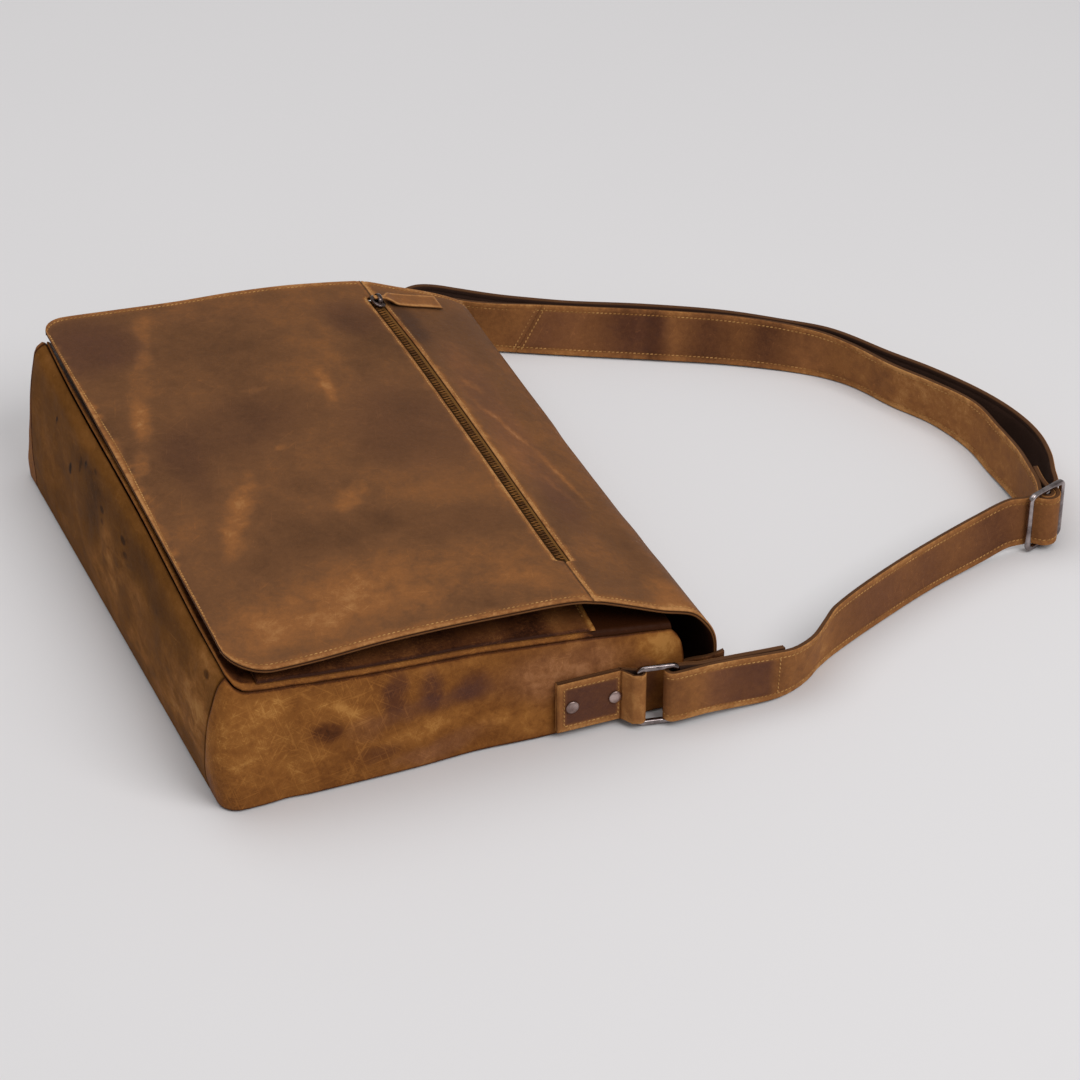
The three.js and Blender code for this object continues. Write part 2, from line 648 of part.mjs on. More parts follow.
// Place and slope of the flap at a distance along the bag
function flapStep(x, y) {
  let low = SEAM_ROW - 5;
  let high = SEAM_ROW + 2;
  for (let round = 0; round < 30; round += 1) {
    const middle = (low + high) / 2;
    if (flapSurface(middle, y).x > x) low = middle;
    else high = middle;
  }
  return low;
}

const solidTools = await Module();
solidTools.setup();

function asSolid(geometry) {
  const bare = new THREE.BufferGeometry();
  bare.setAttribute("position", geometry.getAttribute("position"));
  if (geometry.index) bare.setIndex(geometry.index);
  const merged = mergeVertices(bare, 1e-4);
  const vertProperties = new Float32Array(merged.getAttribute("position").array);
  const triVerts = new Uint32Array(merged.index.array);
  return new solidTools.Manifold(new solidTools.Mesh({ numProp: 3, vertProperties, triVerts }));
}

function joined(first, second) {
  const mesh = asSolid(first).add(asSolid(second)).getMesh();
  const geometry = new THREE.BufferGeometry();
  geometry.setAttribute("position", new THREE.BufferAttribute(mesh.vertProperties, mesh.numProp));
  geometry.setIndex(new THREE.BufferAttribute(mesh.triVerts, 1));
  geometry.computeVertexNormals();
  return geometry;
}

function roundedRectangle(path, width, height, radius) {
  const x = width / 2;
  const y = height / 2;
  path.moveTo(-x + radius, -y);
  path.lineTo(x - radius, -y);
  path.absarc(x - radius, -y + radius, radius, -Math.PI / 2, 0, false);
  path.lineTo(x, y - radius);
  path.absarc(x - radius, y - radius, radius, 0, Math.PI / 2, false);
  path.lineTo(-x + radius, y);
  path.absarc(-x + radius, y - radius, radius, Math.PI / 2, Math.PI, false);
  path.lineTo(-x, -y + radius);
  path.absarc(-x + radius, -y + radius, radius, Math.PI, Math.PI * 1.5, false);
  return path;
}

function plate(shape, thickness, bevel) {
  const geometry = new THREE.ExtrudeGeometry(shape, {
    depth: thickness - 2 * bevel,
    bevelEnabled: true,
    bevelThickness: bevel,
    bevelSize: bevel,
    bevelOffset: -bevel,
    bevelSegments: 1,
    curveSegments: 3,
  });
  return geometry.translate(0, 0, bevel - thickness / 2);
}

// Zip slider: a rounded body across the coil, and a bridge on it that the pull goes through
function zipSliderGeometry() {
  const { length, width, height, bevel } = ZIP_SLIDER;
  const body = plate(roundedRectangle(new THREE.Shape(), width, length, width / 3), height, bevel);
  body.translate(0, 0, height / 2);
  const side = new THREE.Shape();
  const half = ZIP_BRIDGE.length / 2;
  side.moveTo(-half, height / 2);
  side.lineTo(half, height / 2);
  const { shoulder, shoulderTop, crown } = ZIP_BRIDGE_SLOPE;
  side.lineTo(shoulder, shoulderTop);
  side.lineTo(crown, ZIP_BRIDGE.top);
  side.lineTo(-crown, ZIP_BRIDGE.top);
  side.lineTo(-shoulder, shoulderTop);
  side.closePath();
  const hole = new THREE.Path();
  hole.moveTo(-ZIP_BRIDGE.hole / 2, ZIP_BRIDGE.holeLow);
  hole.lineTo(ZIP_BRIDGE.hole / 2, ZIP_BRIDGE.holeLow);
  hole.lineTo(ZIP_BRIDGE.hole / 2, ZIP_BRIDGE.holeHigh);
  hole.lineTo(-ZIP_BRIDGE.hole / 2, ZIP_BRIDGE.holeHigh);
  hole.closePath();
  side.holes.push(hole);
  const bridge = new THREE.ExtrudeGeometry(side, { depth: ZIP_BRIDGE.width, bevelEnabled: false });
  bridge.translate(0, 0, -ZIP_BRIDGE.width / 2);
  bridge.rotateX(Math.PI / 2);
  bridge.rotateZ(Math.PI / 2);
  return joined(body, bridge);
}

function zipSlider() {
  const step = flapStep(FLAP[SEAM_ROW].middleX, ZIP_SLIDER.y);
  const normal = flapNormal(step, ZIP_SLIDER.y);
  const mesh = new THREE.Mesh(zipSliderGeometry(), GUNMETAL);
  mesh.position.copy(flapSurface(step, ZIP_SLIDER.y)).addScaledVector(normal, GAP);
  mesh.quaternion.setFromUnitVectors(new THREE.Vector3(0, 0, 1), normal);
  return mesh;
}

function zipPullGeometry() {
  const surface = (along, share) => {
    const x = FLAP[SEAM_ROW].middleX + along;
    const half = follow(PULL, "along", "half", along);
    const y = ZIP_SLIDER.y + follow(PULL, "along", "aside", along) + share * half;
    const step = flapStep(x, y);
    const up = follow(PULL, "along", "up", along) + PULL_LEATHER;
    return flapSurface(step, y).addScaledVector(flapNormal(step, y), up);
  };
  const grid = PULL.map((row) => [-1, 0, 1].map((share) => [row.along, share]));
  return wallGeometry(surface, grid, PULL_LEATHER, 1);
}

// Smooth path through the rows of a strap's route
function smoothRoute(rows, stepsPerSpan) {
  const last = rows.length - 1;
  const spans = rows.slice(1).map((row, i) => Math.hypot(row.x - rows[i].x, row.y - rows[i].y));
  const slopeAt = (i, column) => {
    const before = Math.max(i - 1, 0);
    const after = Math.min(i + 1, last);
    const run = spans.slice(before, after).reduce((sum, span) => sum + span, 0);
    return (rows[after][column] - rows[before][column]) / run;
  };
  const stations = [];
  for (let i = 0; i < last; i += 1) {
    const steps = spans[i] > 2 * STRAP_LEATHER ? stepsPerSpan : 1;
    for (let k = 0; k < steps; k += 1) {
      const station = {};
      for (const column of ["x", "y", "lean", "lift"]) {
        const from = slopeAt(i, column) * spans[i];
        const to = slopeAt(i + 1, column) * spans[i];
        station[column] = hermite(rows[i][column], rows[i + 1][column], from, to, k / steps);
      }
      stations.push(station);
    }
  }
  return [...stations, rows[last]];
}

// A flat strap on its edge: a rectangle carried along its stations, turned over by each station's lean
function strapGeometry(stations, thickness, width, leanSide) {
  const points = [];
  const triangles = [];
  const last = stations.length - 1;
  stations.forEach((station, i) => {
    const before = stations[Math.max(i - 1, 0)];
    const after = stations[Math.min(i + 1, last)];
    const along = new THREE.Vector3(after.x - before.x, after.y - before.y, 0).normalize();
    const side = new THREE.Vector3(-along.y, along.x, 0);
    const lean = THREE.MathUtils.degToRad(station.lean) * leanSide;
    const up = new THREE.Vector3(0, 0, Math.cos(lean)).addScaledVector(side, Math.sin(lean));
    const across = new THREE.Vector3(0, 0, -Math.sin(lean)).addScaledVector(side, Math.cos(lean));
    const edge = GAP + Math.max(station.lift, 0) + (Math.abs(Math.sin(lean)) * thickness) / 2;
    const foot = new THREE.Vector3(station.x, station.y, edge);
    const corners = [
      [-1, 0],
      [1, 0],
      [1, 1],
      [-1, 1],
    ];
    for (const [half, rise] of corners) {
      const corner = foot.clone().addScaledVector(across, (half * thickness) / 2);
      points.push(corner.addScaledVector(up, rise * width));
    }
  });
  const quad = (a, b, c, d) => triangles.push([a, b, c], [a, c, d]);
  for (let i = 0; i < last; i += 1) {
    for (let k = 0; k < 4; k += 1) {
      const next = (k + 1) % 4;
      quad(4 * i + k, 4 * i + next, 4 * (i + 1) + next, 4 * (i + 1) + k);
    }
  }
  quad(0, 3, 2, 1);
  quad(4 * last, 4 * last + 1, 4 * last + 2, 4 * last + 3);
  return solidGeometry(points, triangles);
}

// Arc of a strap round a bar, from one angle to another in equal steps
function roundBar(bar, radius, fromAngle, toAngle, steps, lift) {
  const rows = [];
  for (let k = 0; k <= steps; k += 1) {
    const angle = fromAngle + ((toAngle - fromAngle) * k) / steps;
    rows.push({ x: bar.x + radius * Math.cos(angle), y: bar.y + radius * Math.sin(angle), lean: 0, lift });
  }
  return rows;
}

// Places of the ring bars and of points beside the strap slider
const TAB_FACE_Y = HALF_WIDTH + GAP;
const TAB_LOOP = LOOP_RADIUS + TAB_LEATHER / 2;
const STRAP_LOOP = LOOP_RADIUS + STRAP_LEATHER / 2;
const RING_BAR_Y = TAB_FACE_Y + TAB_LEATHER / 2 + TAB_LOOP;

// Bar of a ring that the strap goes round
function strapBar(place, side) {
  return {
    x: place.x + RING_SPAN * Math.cos(place.turn),
    y: side * (RING_BAR_Y + place.out) + RING_SPAN * Math.sin(place.turn),
  };
}

function besideSlider(along, behind, lift) {
  const { x, y, turn } = STRAP_SLIDER;
  return {
    x: x + along * Math.cos(turn) - behind * Math.sin(turn),
    y: y + along * Math.sin(turn) + behind * Math.cos(turn),
    lean: 0,
    lift,
  };
}

// The strap goes behind the slider's outer bars and in front of the loop on its middle bar
function sliderWeave() {
  const clear = LOOP_RADIUS + 1.5 * STRAP_LEATHER + GAP;
  const { turn } = STRAP_SLIDER;
  const { from, to, steps } = WEAVE_FRONT;
  const into = SLIDER_WEAVE.map(({ along, behind }) => besideSlider(-along, behind, LIFT));
  const front = roundBar(STRAP_SLIDER, clear, turn + from, turn + to, steps, LIFT);
  const out = SLIDER_WEAVE.map(({ along, behind }) => besideSlider(along, behind, LIFT)).reverse();
  return [...into, ...front, ...out];
}

function strapLongGeometry() {
  const nearBar = strapBar(NEAR_RING, -1);
  const nearLoop = { x: nearBar.x - NEAR_LOOP_SLACK, y: nearBar.y };
  const nearTurn = roundBar(nearLoop, STRAP_LOOP, Math.PI / 2, Math.PI * 1.5, 6, LIFT);
  const farFrom = FAR_LEG_TURN + Math.PI / 2;
  const farTurn = roundBar(strapBar(FAR_RING, 1), STRAP_LOOP, farFrom, farFrom + Math.PI, 6, LIFT);
  const rows = [
    ...STRAP_FOLD_BACK,
    ...nearTurn,
    ...STRAP_NEAR_RUN,
    ...sliderWeave(),
    ...STRAP_OUTER_RUN,
    ...farTurn,
    ...STRAP_INNER_RUN,
  ];
  return strapGeometry(smoothRoute(rows, 2), STRAP_LEATHER, STRAP_WIDTH, -1);
}

function strapShortGeometry() {
  const main = STRAP_RETURN[STRAP_RETURN.length - 1];
  const legTurn = Math.atan2(main.y - STRAP_SLIDER.y, main.x - STRAP_SLIDER.x);
  const loop = roundBar(STRAP_SLIDER, STRAP_LOOP, legTurn + Math.PI / 2, legTurn + Math.PI * 1.5, 6, LIFT);
  const beside = (STRAP_LEATHER + SEAM_GAP) / 2;
  const leg = (along, across) => ({
    x: STRAP_SLIDER.x + along * Math.cos(legTurn) + across * Math.sin(legTurn),
    y: STRAP_SLIDER.y + along * Math.sin(legTurn) - across * Math.cos(legTurn),
    lean: 0,
    lift: LIFT,
  });
  const rows = [
    ...STRAP_RETURN.slice(0, -1),
    leg(SLIDER_LOOP.main, -beside),
    leg(SLIDER_LOOP.meet, -beside),
    ...loop,
    leg(SLIDER_LOOP.meet, beside),
    leg(SLIDER_LOOP.end, beside),
  ];
  return strapGeometry(smoothRoute(rows, 2), STRAP_LEATHER, STRAP_WIDTH, 1);
}

// Tab: a strip that lies on the gusset, goes round the ring's bar and comes back over itself
function strapTabGeometry(side, place) {
  const under = TAB_FACE_Y + TAB_LEATHER / 2;
  const over = under + TAB_LEATHER + GAP;
  const bar = { x: place.x, y: RING_BAR_Y + place.out };
  const turn = roundBar(bar, TAB_LOOP, -Math.PI / 2, Math.PI / 2, 6, LIFT);
  const flat = (x, y) => ({ x, y, lean: 0, lift: LIFT });
  const leg = (rows, y) =>
    rows.map(({ back, off, share }) => flat(bar.x - back, y + off + share * place.out));
  const rows = [
    flat(TAB_START_X, under),
    ...leg(TAB_UNDER_LEG, under),
    ...turn,
    ...leg(TAB_OVER_LEG, over),
    flat(TAB_START_X, over),
  ].map((row) => ({ ...row, y: side * row.y }));
  return strapGeometry(rows, TAB_LEATHER, STRAP_WIDTH, 1);
}

const FRAME_HEIGHT = STRAP_WIDTH + 2 * (METAL + EDGE_CLEAR);

function openFrame(length, holes) {
  const shape = roundedRectangle(new THREE.Shape(), length, FRAME_HEIGHT, METAL_CORNER);
  for (const hole of holes) {
    const path = roundedRectangle(new THREE.Path(), hole.length, FRAME_HEIGHT - 2 * METAL, METAL_HOLE_CORNER);
    const moved = path.getPoints(2).map((point) => new THREE.Vector2(point.x + hole.x, point.y));
    shape.holes.push(new THREE.Path(moved));
  }
  const geometry = plate(shape, METAL, METAL_BEVEL);
  return geometry.rotateX(Math.PI / 2).translate(0, 0, GAP + FRAME_HEIGHT / 2);
}

function ring(side, place) {
  const length = RING_SPAN + METAL;
  const geometry = openFrame(length, [{ x: 0, length: RING_SPAN - METAL }]);
  const mesh = new THREE.Mesh(geometry.translate(RING_SPAN / 2, 0, 0), GUNMETAL);
  mesh.position.set(place.x, side * (RING_BAR_Y + place.out), 0);
  mesh.rotation.z = place.turn;
  return mesh;
}

function strapSlider() {
  const { x, y, turn, pitch } = STRAP_SLIDER;
  const hole = pitch - METAL;
  const geometry = openFrame(2 * pitch + METAL, [
    { x: -pitch / 2, length: hole },
    { x: pitch / 2, length: hole },
  ]);
  const mesh = new THREE.Mesh(geometry, GUNMETAL);
  mesh.position.set(x, y, 0);
  mesh.rotation.z = turn;
  return mesh;
}

// Rivet with a domed head, its axis pointing away from the gusset
function rivet(side, x) {
  const { radius, height, sides } = RIVET;
  const profile = RIVET_PROFILE.map(({ r, h }) => new THREE.Vector2(r * radius, h * height));
  const mesh = new THREE.Mesh(new THREE.LatheGeometry(profile, sides), GUNMETAL);
  const face = TAB_FACE_Y + 2 * TAB_LEATHER + 2 * GAP;
  mesh.position.set(x, side * face, GAP + LIFT + STRAP_WIDTH / 2);
  mesh.rotation.x = side < 0 ? Math.PI : 0;
  return mesh;
}

function mouthTabGeometry() {
  return strapGeometry(smoothRoute(MOUTH_TAB_ROUTE, 2), STRAP_LEATHER, MOUTH_TAB_WIDTH, 1);
}

const bag = new THREE.Group();

function add(name, mesh) {
  mesh.name = name;
  bag.add(mesh);
}

add("back_panel", new THREE.Mesh(backPanelGeometry(), BODY_TAN));
add("base_panel", new THREE.Mesh(basePanelGeometry(), BASE_BROWN));
add("gusset_near", new THREE.Mesh(gussetGeometry(false), BODY_TAN));
add("gusset_far", new THREE.Mesh(gussetGeometry(true), BODY_TAN));
add("front_panel", new THREE.Mesh(frontPanelGeometry(), BODY_TAN));
add("front_pocket", new THREE.Mesh(frontPocketGeometry(), BODY_TAN));
add("flap_yoke", new THREE.Mesh(flapYokeGeometry(), FLAP_BROWN));
add("flap_panel", new THREE.Mesh(flapPanelGeometry(), FLAP_BROWN));
add("flap_zip", new THREE.Mesh(zipGeometry(), ZIP_GOLD));
add("zip_slider", zipSlider());
add("zip_pull", new THREE.Mesh(zipPullGeometry(), FLAP_BROWN));
add("strap_long", new THREE.Mesh(strapLongGeometry(), STRAP_BROWN));
add("strap_short", new THREE.Mesh(strapShortGeometry(), STRAP_BROWN));
add("strap_slider", strapSlider());
add("mouth_tab", new THREE.Mesh(mouthTabGeometry(), STRAP_BROWN));
for (const [name, side, place] of [
  ["near", -1, NEAR_RING],
  ["far", 1, FAR_RING],
]) {
  add(`strap_tab_${name}`, new THREE.Mesh(strapTabGeometry(side, place), STRAP_BROWN));
  add(`ring_${name}`, ring(side, place));
  RIVET.places.forEach((x, i) => add(`rivet_${name}_${i + 1}`, rivet(side, x)));
}

export default bag;
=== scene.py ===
"""The looks of a brown leather laptop bag that lies on its back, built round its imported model.

Sizes are millimetres in the tables and functions, and become metres where a mesh is made. +X runs from
the base to the mouth, +Y to the far side and +Z up, as in the model.
"""

import math
from types import SimpleNamespace as Settings

import bmesh
import bpy
import numpy as np
from mathutils import Matrix, Vector


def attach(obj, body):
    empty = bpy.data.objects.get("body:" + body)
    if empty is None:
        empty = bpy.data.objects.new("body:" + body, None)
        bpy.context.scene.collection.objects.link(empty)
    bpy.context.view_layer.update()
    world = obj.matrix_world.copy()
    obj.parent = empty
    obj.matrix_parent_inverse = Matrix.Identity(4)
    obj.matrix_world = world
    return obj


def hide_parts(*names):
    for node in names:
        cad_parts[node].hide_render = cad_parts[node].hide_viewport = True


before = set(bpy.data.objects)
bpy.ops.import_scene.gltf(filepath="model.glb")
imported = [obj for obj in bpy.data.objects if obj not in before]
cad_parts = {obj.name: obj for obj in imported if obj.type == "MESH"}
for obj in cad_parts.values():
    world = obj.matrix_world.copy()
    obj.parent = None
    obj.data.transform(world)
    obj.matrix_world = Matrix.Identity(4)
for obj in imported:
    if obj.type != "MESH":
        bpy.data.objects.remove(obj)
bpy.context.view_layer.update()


def table(columns, *rows):
    """A table with named columns, each column an array with one value for each row."""
    return dict(zip(columns.split(), np.array(rows, float).T))


MM = 0.001
MERGE_DISTANCE = 1e-7

# Leather and clearance
GAP = 0.3
SEAM_GAP = 0.4
LEATHER = 2.2
POCKET_LEATHER = 1.8
FLAP_LEATHER = 3.0
TAB_LEATHER = 2.0
STRAP_LEATHER = 3.0
PULL_LEATHER = 1.5

# Body
HALF_WIDTH = 195.0
BASE_X = -143.0
MOUTH_X = 143.0
CORNER_RADIUS = 12.0
SIDE_RUN = MOUTH_X - BASE_X - CORNER_RADIUS
CORNER_RUN = CORNER_RADIUS * math.pi / 2
OUTLINE_RUN = 2 * (SIDE_RUN + CORNER_RUN + HALF_WIDTH - CORNER_RADIUS)
LIP_RADIUS = 4.0
LIP_GAP = 0.6
WALL_DROP = 2.1
BACK_INSET = 2.6
FRONT_EDGE_X = 134.0
POCKET_START_X = -126.0
POCKET_EDGE_X = 86.0
BASE_RISE_REACH = Settings(full=-132.0, none=-120.0)
GUSSET_LEAN = 2.0
GUSSET_LEAN_START = 0.6
CROWN_HALF_WIDTH = 190.0
CROWN_POWER = 2.4
GUSSET_SIZE = (300, 72)
BASE_SIZE = (350, 84)
BASE_POWER, GUSSET_POWER, DROP_POWER = 3, 6, 8

# Flap
FLAP_NEAR_Y = -194.0
FLAP_FAR_Y = 200.0
FLAP_MIDDLE_Y = (FLAP_NEAR_Y + FLAP_FAR_Y) / 2
FLAP_HALF = (FLAP_FAR_Y - FLAP_NEAR_Y) / 2
FLAP_EDGE_X = -131.0
FLAP_NEAR_CORNER = 24.0
FLAP_FAR_CORNER = 14.0
# Zip seam: the step of the flap's profile that it lies on, the length of a step there, and its place along
# the bag; then the points that measure a profile, and the steps between which one is found by halving
SEAM_ROW = 11
SEAM_ROW_STEP = 8.0
SEAM_X = 84.0
PROFILE_POINTS = 600
STEP_SEARCH = (-5.0, 2.0)
STEP_HALVINGS = 30

# Zip, its slider with its bridge, and the pull
ZIP_NEAR_Y = -150.0
ZIP_FAR_Y = 176.0
ZIP_END_TAPER = 2.5
ZIP_END_SHIFT = 2.0
ZIP_END_LINES = 9
ZIP_SLOT_HALF = 5.0
ZIP_TAPE = 1.2
ZIP_TAPE_GRID = Settings(across=29, along=2.0)
ZIP_SINK = 1.3
GOLD_STRIP = Settings(start=(-1.9, -2.4), end=(-4.6, -4.0))
TOOTH_PITCH = 1.5
TOOTH = Settings(middle=1.2, reach=2.7, over=0.5, radius=0.46, rise=0.5, clear=2.0)
TOOTH_WIDTHS = np.array([0.5, 0.95, 1, 1.1, 0.7])
ZIP_SLIDER = Settings(y=168.0, length=15.0, width=8.4, height=2.4, waist=0.16, power=0.6, sides=40)
ZIP_SLIDER_LEVELS = np.clip((np.linspace(0, 1, 9) - 0.12) / 0.76, 0, 1)
ZIP_SLIDER_SWELL = np.concatenate(
    [[0.001, 0.6], np.sin(np.linspace(0.9, math.pi - 0.9, 5)) ** 0.3, [0.6, 0.001]]
)
ZIP_BRIDGE = Settings(
    half=4.4, top=5.5, foot=1.2, width=3.0, thick=0.95, powers=(0.7, 0.6), stations=25, sides=12
)
PULL_GRID = Settings(along=60, across=17)

# Strap, tabs and metal
STRAP_WIDTH = 34.5
METAL = 3.6
METAL_CORNER = 5.0
WIRE = Settings(power=2.6, sides=20, corner_steps=9)
SLIDER_BAR = Settings(stations=12, short=1.2)
LOOP_RADIUS = 2.5
LOOP_STEPS = 6
EDGE_CLEAR = 0.35
LIFT = METAL + EDGE_CLEAR
FRAME_HEIGHT = STRAP_WIDTH + 2 * LIFT
TAB_START_X = 60.0
TAB_FACE_Y = HALF_WIDTH + GAP
TAB_LOOP = LOOP_RADIUS + TAB_LEATHER / 2
STRAP_LOOP = LOOP_RADIUS + STRAP_LEATHER / 2
RING_SPAN = 22.7
RING_BAR_Y = TAB_FACE_Y + TAB_LEATHER / 2 + TAB_LOOP
NEAR_RING = Settings(x=108.5, out=4.9, turn=math.radians(-10.5))
FAR_RING = Settings(x=113.2, out=0.0, turn=math.radians(100))
NEAR_LOOP_SLACK = 2.5
FAR_LEG_TURN = math.radians(55)
SLIDER_X, SLIDER_Y = 419.2, -125.8
SLIDER_TURN = math.radians(20.3)
SLIDER_PITCH = 14.4
SLIDER_LOOP = Settings(meet=14.0, main=27.0, end=30.0)
TAB_BOX = Settings(start=63.0, end=99.0, fade=3.0, flat=0.2)
STRAP_BOX = Settings(start=146.0, end=194.0, beyond=-208.0)
RIVET = Settings(radius=4.2, height=1.8, places=(68.8, 95.9), sides=32, dome=8)
RIVET_RIM = Settings(steps=4, middle=0.02, foot=0.9, flank=0.86, low=0.06, high=0.3)
MOUTH_TAB_WIDTH = 7.5
STRAP_SPACING = Settings(smooth=2.4, straight=2.0)
STRAP_RISE_LINES = np.array([0.0, 0.15, 0.6, 1.4, 2.4, 3.2, 3.9, 4.6, 5.6, 7.5, 11])
STRAP_LINES_SHARE = 0.42
STRAP_SHOULDER = 0.45
STRAP_EDGE_GROOVE = 0.15
CUT_STRIPS = 2
# Slant of the splice: how far the strap's end runs on from its lower edge to its upper one, the share of
# its width that stays in place, how far along the strap the slant fades out, how far the two ends close up,
# how far off its stitches are, and how far these keep from the strap's edges
SPLICE = Settings(slant=17.1, still=0.72, fade=60.0, close=0.3, stitches=2.4, clear=1.5)

# How far each leg of a tab's fold stands off, by distance from the ring's bar: on its own account, and as
# a share of how far out the ring is
TAB_UNDER_LEG = table("back off share", (8.5, 0, 0), (3.5, 0, 0.53))
TAB_OVER_LEG = table("back off share", (3.8, 3.2, 1), (6.5, 1.4, 0.42), (8.7, 0.1, 0))

# Height of the side and base walls' sewn top edge
WALL_TOP = table(
    "x z",
    (-152, 90.5), (-134, 89.5), (-130, 84.5), (-125, 81), (-118, 79.4), (-93, 76.4), (-60, 74.2),
    (-34, 71.8), (0, 69.6), (27, 67.4), (59, 64.3), (89, 60.8), (143, 53),
)
# How much higher that edge is along the base, from the near corner to the far one
BASE_RISE = table(
    "y rise",
    (-200, -1.6), (-128, -1.6), (-75, 1.3), (-20, 4.4), (34, 4.4), (84, 3.8), (134, 4.6), (180, 8.1),
    (200, 9.5),
)
# How far the base wall stands out at each share of its height, at its near end and its far end
BASE_SWELL = table(
    "up near far",
    (0, -1.5, 7), (0.2, 1.8, 6.8), (0.42, 3.3, 4.2), (0.65, 2, 1.9), (0.85, -2.6, -1.2), (0.94, -5.6, -3.6),
    (1, -9.5, -11),
)
# How far each gusset reaches round the base corner to its seam
CORNER_SEAM = table(
    "up reach", (0, 32), (0.1, 32.5), (0.22, 28.5), (0.42, 22), (0.7, 18.5), (0.88, 17.5), (1, 17)
)
# How far the gusset's mouth edge is cut back at each share of its height
MOUTH_CUT = table("up back", (0, 0), (0.5, 1), (0.8, 2.5), (0.93, 5.5), (1, 9))
# Soft dents in the gussets: place along the bag and reach, share of the height and reach, and depth, a
# negative depth being a swelling
GUSSET_DENTS = ((12, 26, 0.4, 0.45, 4.5), (-62, 18, 0.7, 0.35, -2), (-104, 9, 0.45, 0.5, 2.6))
# How far the filled front panel stands up along the middle of the bag
FRONT_CROWN = table(
    "x rise",
    (-133, 0), (-118, 5), (-82, 12), (-42, 15), (-5, 16.8), (30, 17),
    (60, 16.2), (84, 14.6), (104, 10), (124, 5), (134, 3),
)
# Outer face of the flap from its hinge, round the fold, over the zip seam and down to its free edge
FLAP = table(
    "near_x near_z middle_x middle_z far_x far_z",
    (143.4, 0.3, 143.4, 0.3, 143.4, 0.3),
    (152.5, 1.6, 150.5, 1.4, 151.5, 1.5),
    (159, 8.5, 155.5, 8, 157, 8),
    (162.3, 20, 158, 20, 160, 19),
    (163.3, 33, 159.2, 33, 161, 32),
    (162, 44.2, 157.8, 46, 159.5, 44),
    (157, 54.4, 151.5, 57, 155.5, 54),
    (147, 64.8, 141, 65, 146, 61),
    (128, 71.6, 126, 71, 128, 69.5),
    (108, 80.3, 108, 78.5, 109, 77),
    (92, 87, 92, 85.6, 92, 84),
    (84, 89.6, 84, 88.3, 84, 86.8),
    (76, 91.8, 76, 89.8, 76, 88.4),
    (60, 93.6, 60, 92.2, 60, 91),
    (30, 94.8, 30, 96.3, 30, 95),
    (-5, 96, -5, 99, -5, 97.6),
    (-42, 96, -42, 100.2, -42, 98.8),
    (-82, 94, -82, 100.8, -82, 101.4),
    (-112, 94.2, -112, 101.2, -112, 103.4),
    (-131, 97, -131, 101.2, -131, 103.8),
)
FLAP["step"] = np.arange(len(FLAP["near_x"]), dtype=float)
FLAP_END = FLAP["step"][-1]
# How far the zip seam drifts towards the mouth along its way
SEAM_DRIFT = table(
    "y mouthward",
    (-200, 0.6), (-165, 0), (-130, -0.4), (-60, 0.8), (0, 1.8), (60, 2.3), (110, 2.3), (145, 1.4),
    (172, 0.4), (205, 0),
)
# Leather zip pull: place along it from the slider, drift to the far side, height over the flap, half width
PULL = table(
    "along aside up half",
    (-3, 0, 3.5, 2), (3, 0.4, 3.6, 2), (7.5, 3.4, 2.9, 5.2), (13, 6.6, 0.9, 7.8), (22, 9, 0.4, 8),
    (34, 11.6, 0.4, 8), (47, 14.5, 0.4, 8),
)

# Strap routes: place of the lower edge, lean of the upper edge in degrees, and lift of the lower edge. The
# long strap leans to the right of its way, the short one to the left.
STRAP_FOLD_BACK = (
    (199, -205.6, -5, 0.6), (188, -207.6, -1, 1), (168, -208.3, 0, 2.4), (150, -209, 0, LIFT),
    (144, -208.4, 0, LIFT), (138, -206.6, 0, LIFT),
)
STRAP_NEAR_RUN = (
    (138, -212.8, 0, LIFT), (150, -212.5, 0, LIFT), (168, -211.8, 0, 2.4), (190, -211.1, 2, 0.8),
    (204, -207.8, 7, 0), (218, -201.2, 8, 0), (231, -191.5, 6, 0), (247, -182, 0, 0), (287, -163, -3, 0),
    (334, -143, -3, 0), (375, -130.5, -5, 1.4), (393, -126.6, -3, LIFT),
)
STRAP_OUTER_RUN = (
    (436, -104, 0, 3), (445, -82, 0, 1.5), (450.5, -56, 0, 0), (448.5, -28, 0, 0), (440, 2, 0, 0),
    (424, 37, 0, 0), (407, 66, 0, 0), (384, 107, 0, 0), (358, 131, 0, 0), (325, 157, 0, 0),
    (280, 183.3, 0, 0), (236, 205, 0, 0), (203, 223, 0, 1), (187, 232, 0, 2), (168.5, 244.7, 0, 3),
    (154, 254, 0, LIFT), (143, 258, 0, LIFT), (131, 254, 0, LIFT), (119.5, 242.5, 0, LIFT),
)
STRAP_INNER_RUN = (
    (121, 230.5, 0, LIFT), (131, 238, 0, LIFT), (144, 240, 0, LIFT), (157, 235, -1, 3.4), (171, 226, -3, 2),
    (186, 216.5, -8, 0.8), (208, 204.5, -15, 0),
)
STRAP_RETURN = (
    (208.6, 204.2, 15, 0), (232, 191.6, 16.5, 0), (282, 165.5, 18, 0), (330, 139.5, 12, 0),
    (372, 110, 1, 0), (391, 87, -6, 0), (405, 54, -7, 0), (420, 24, -6, 0), (427.5, -10, 4, 0),
    (427, -40, 6, 0), (425.8, -72, 4, 2), (424.8, -98, 0, LIFT),
)
# Where the strap passes behind each outer bar of its slider, and its turn in front of the middle bar
SLIDER_WEAVE = ((14.4, 4.8), (11, 3.5), (8.4, 0.8))
WEAVE_FRONT = Settings(start=math.pi * 1.12, end=math.pi * 1.88, steps=5)
MOUTH_TAB_ROUTE = (
    (128, -190.9, 0, 17), (142, -190.9, 0, 20.5), (148, -192.4, 0, 22.3), (154, -196.2, 0, 24.6),
    (159, -198.2, 0, 26.4), (165, -199, 0, 28.3),
)

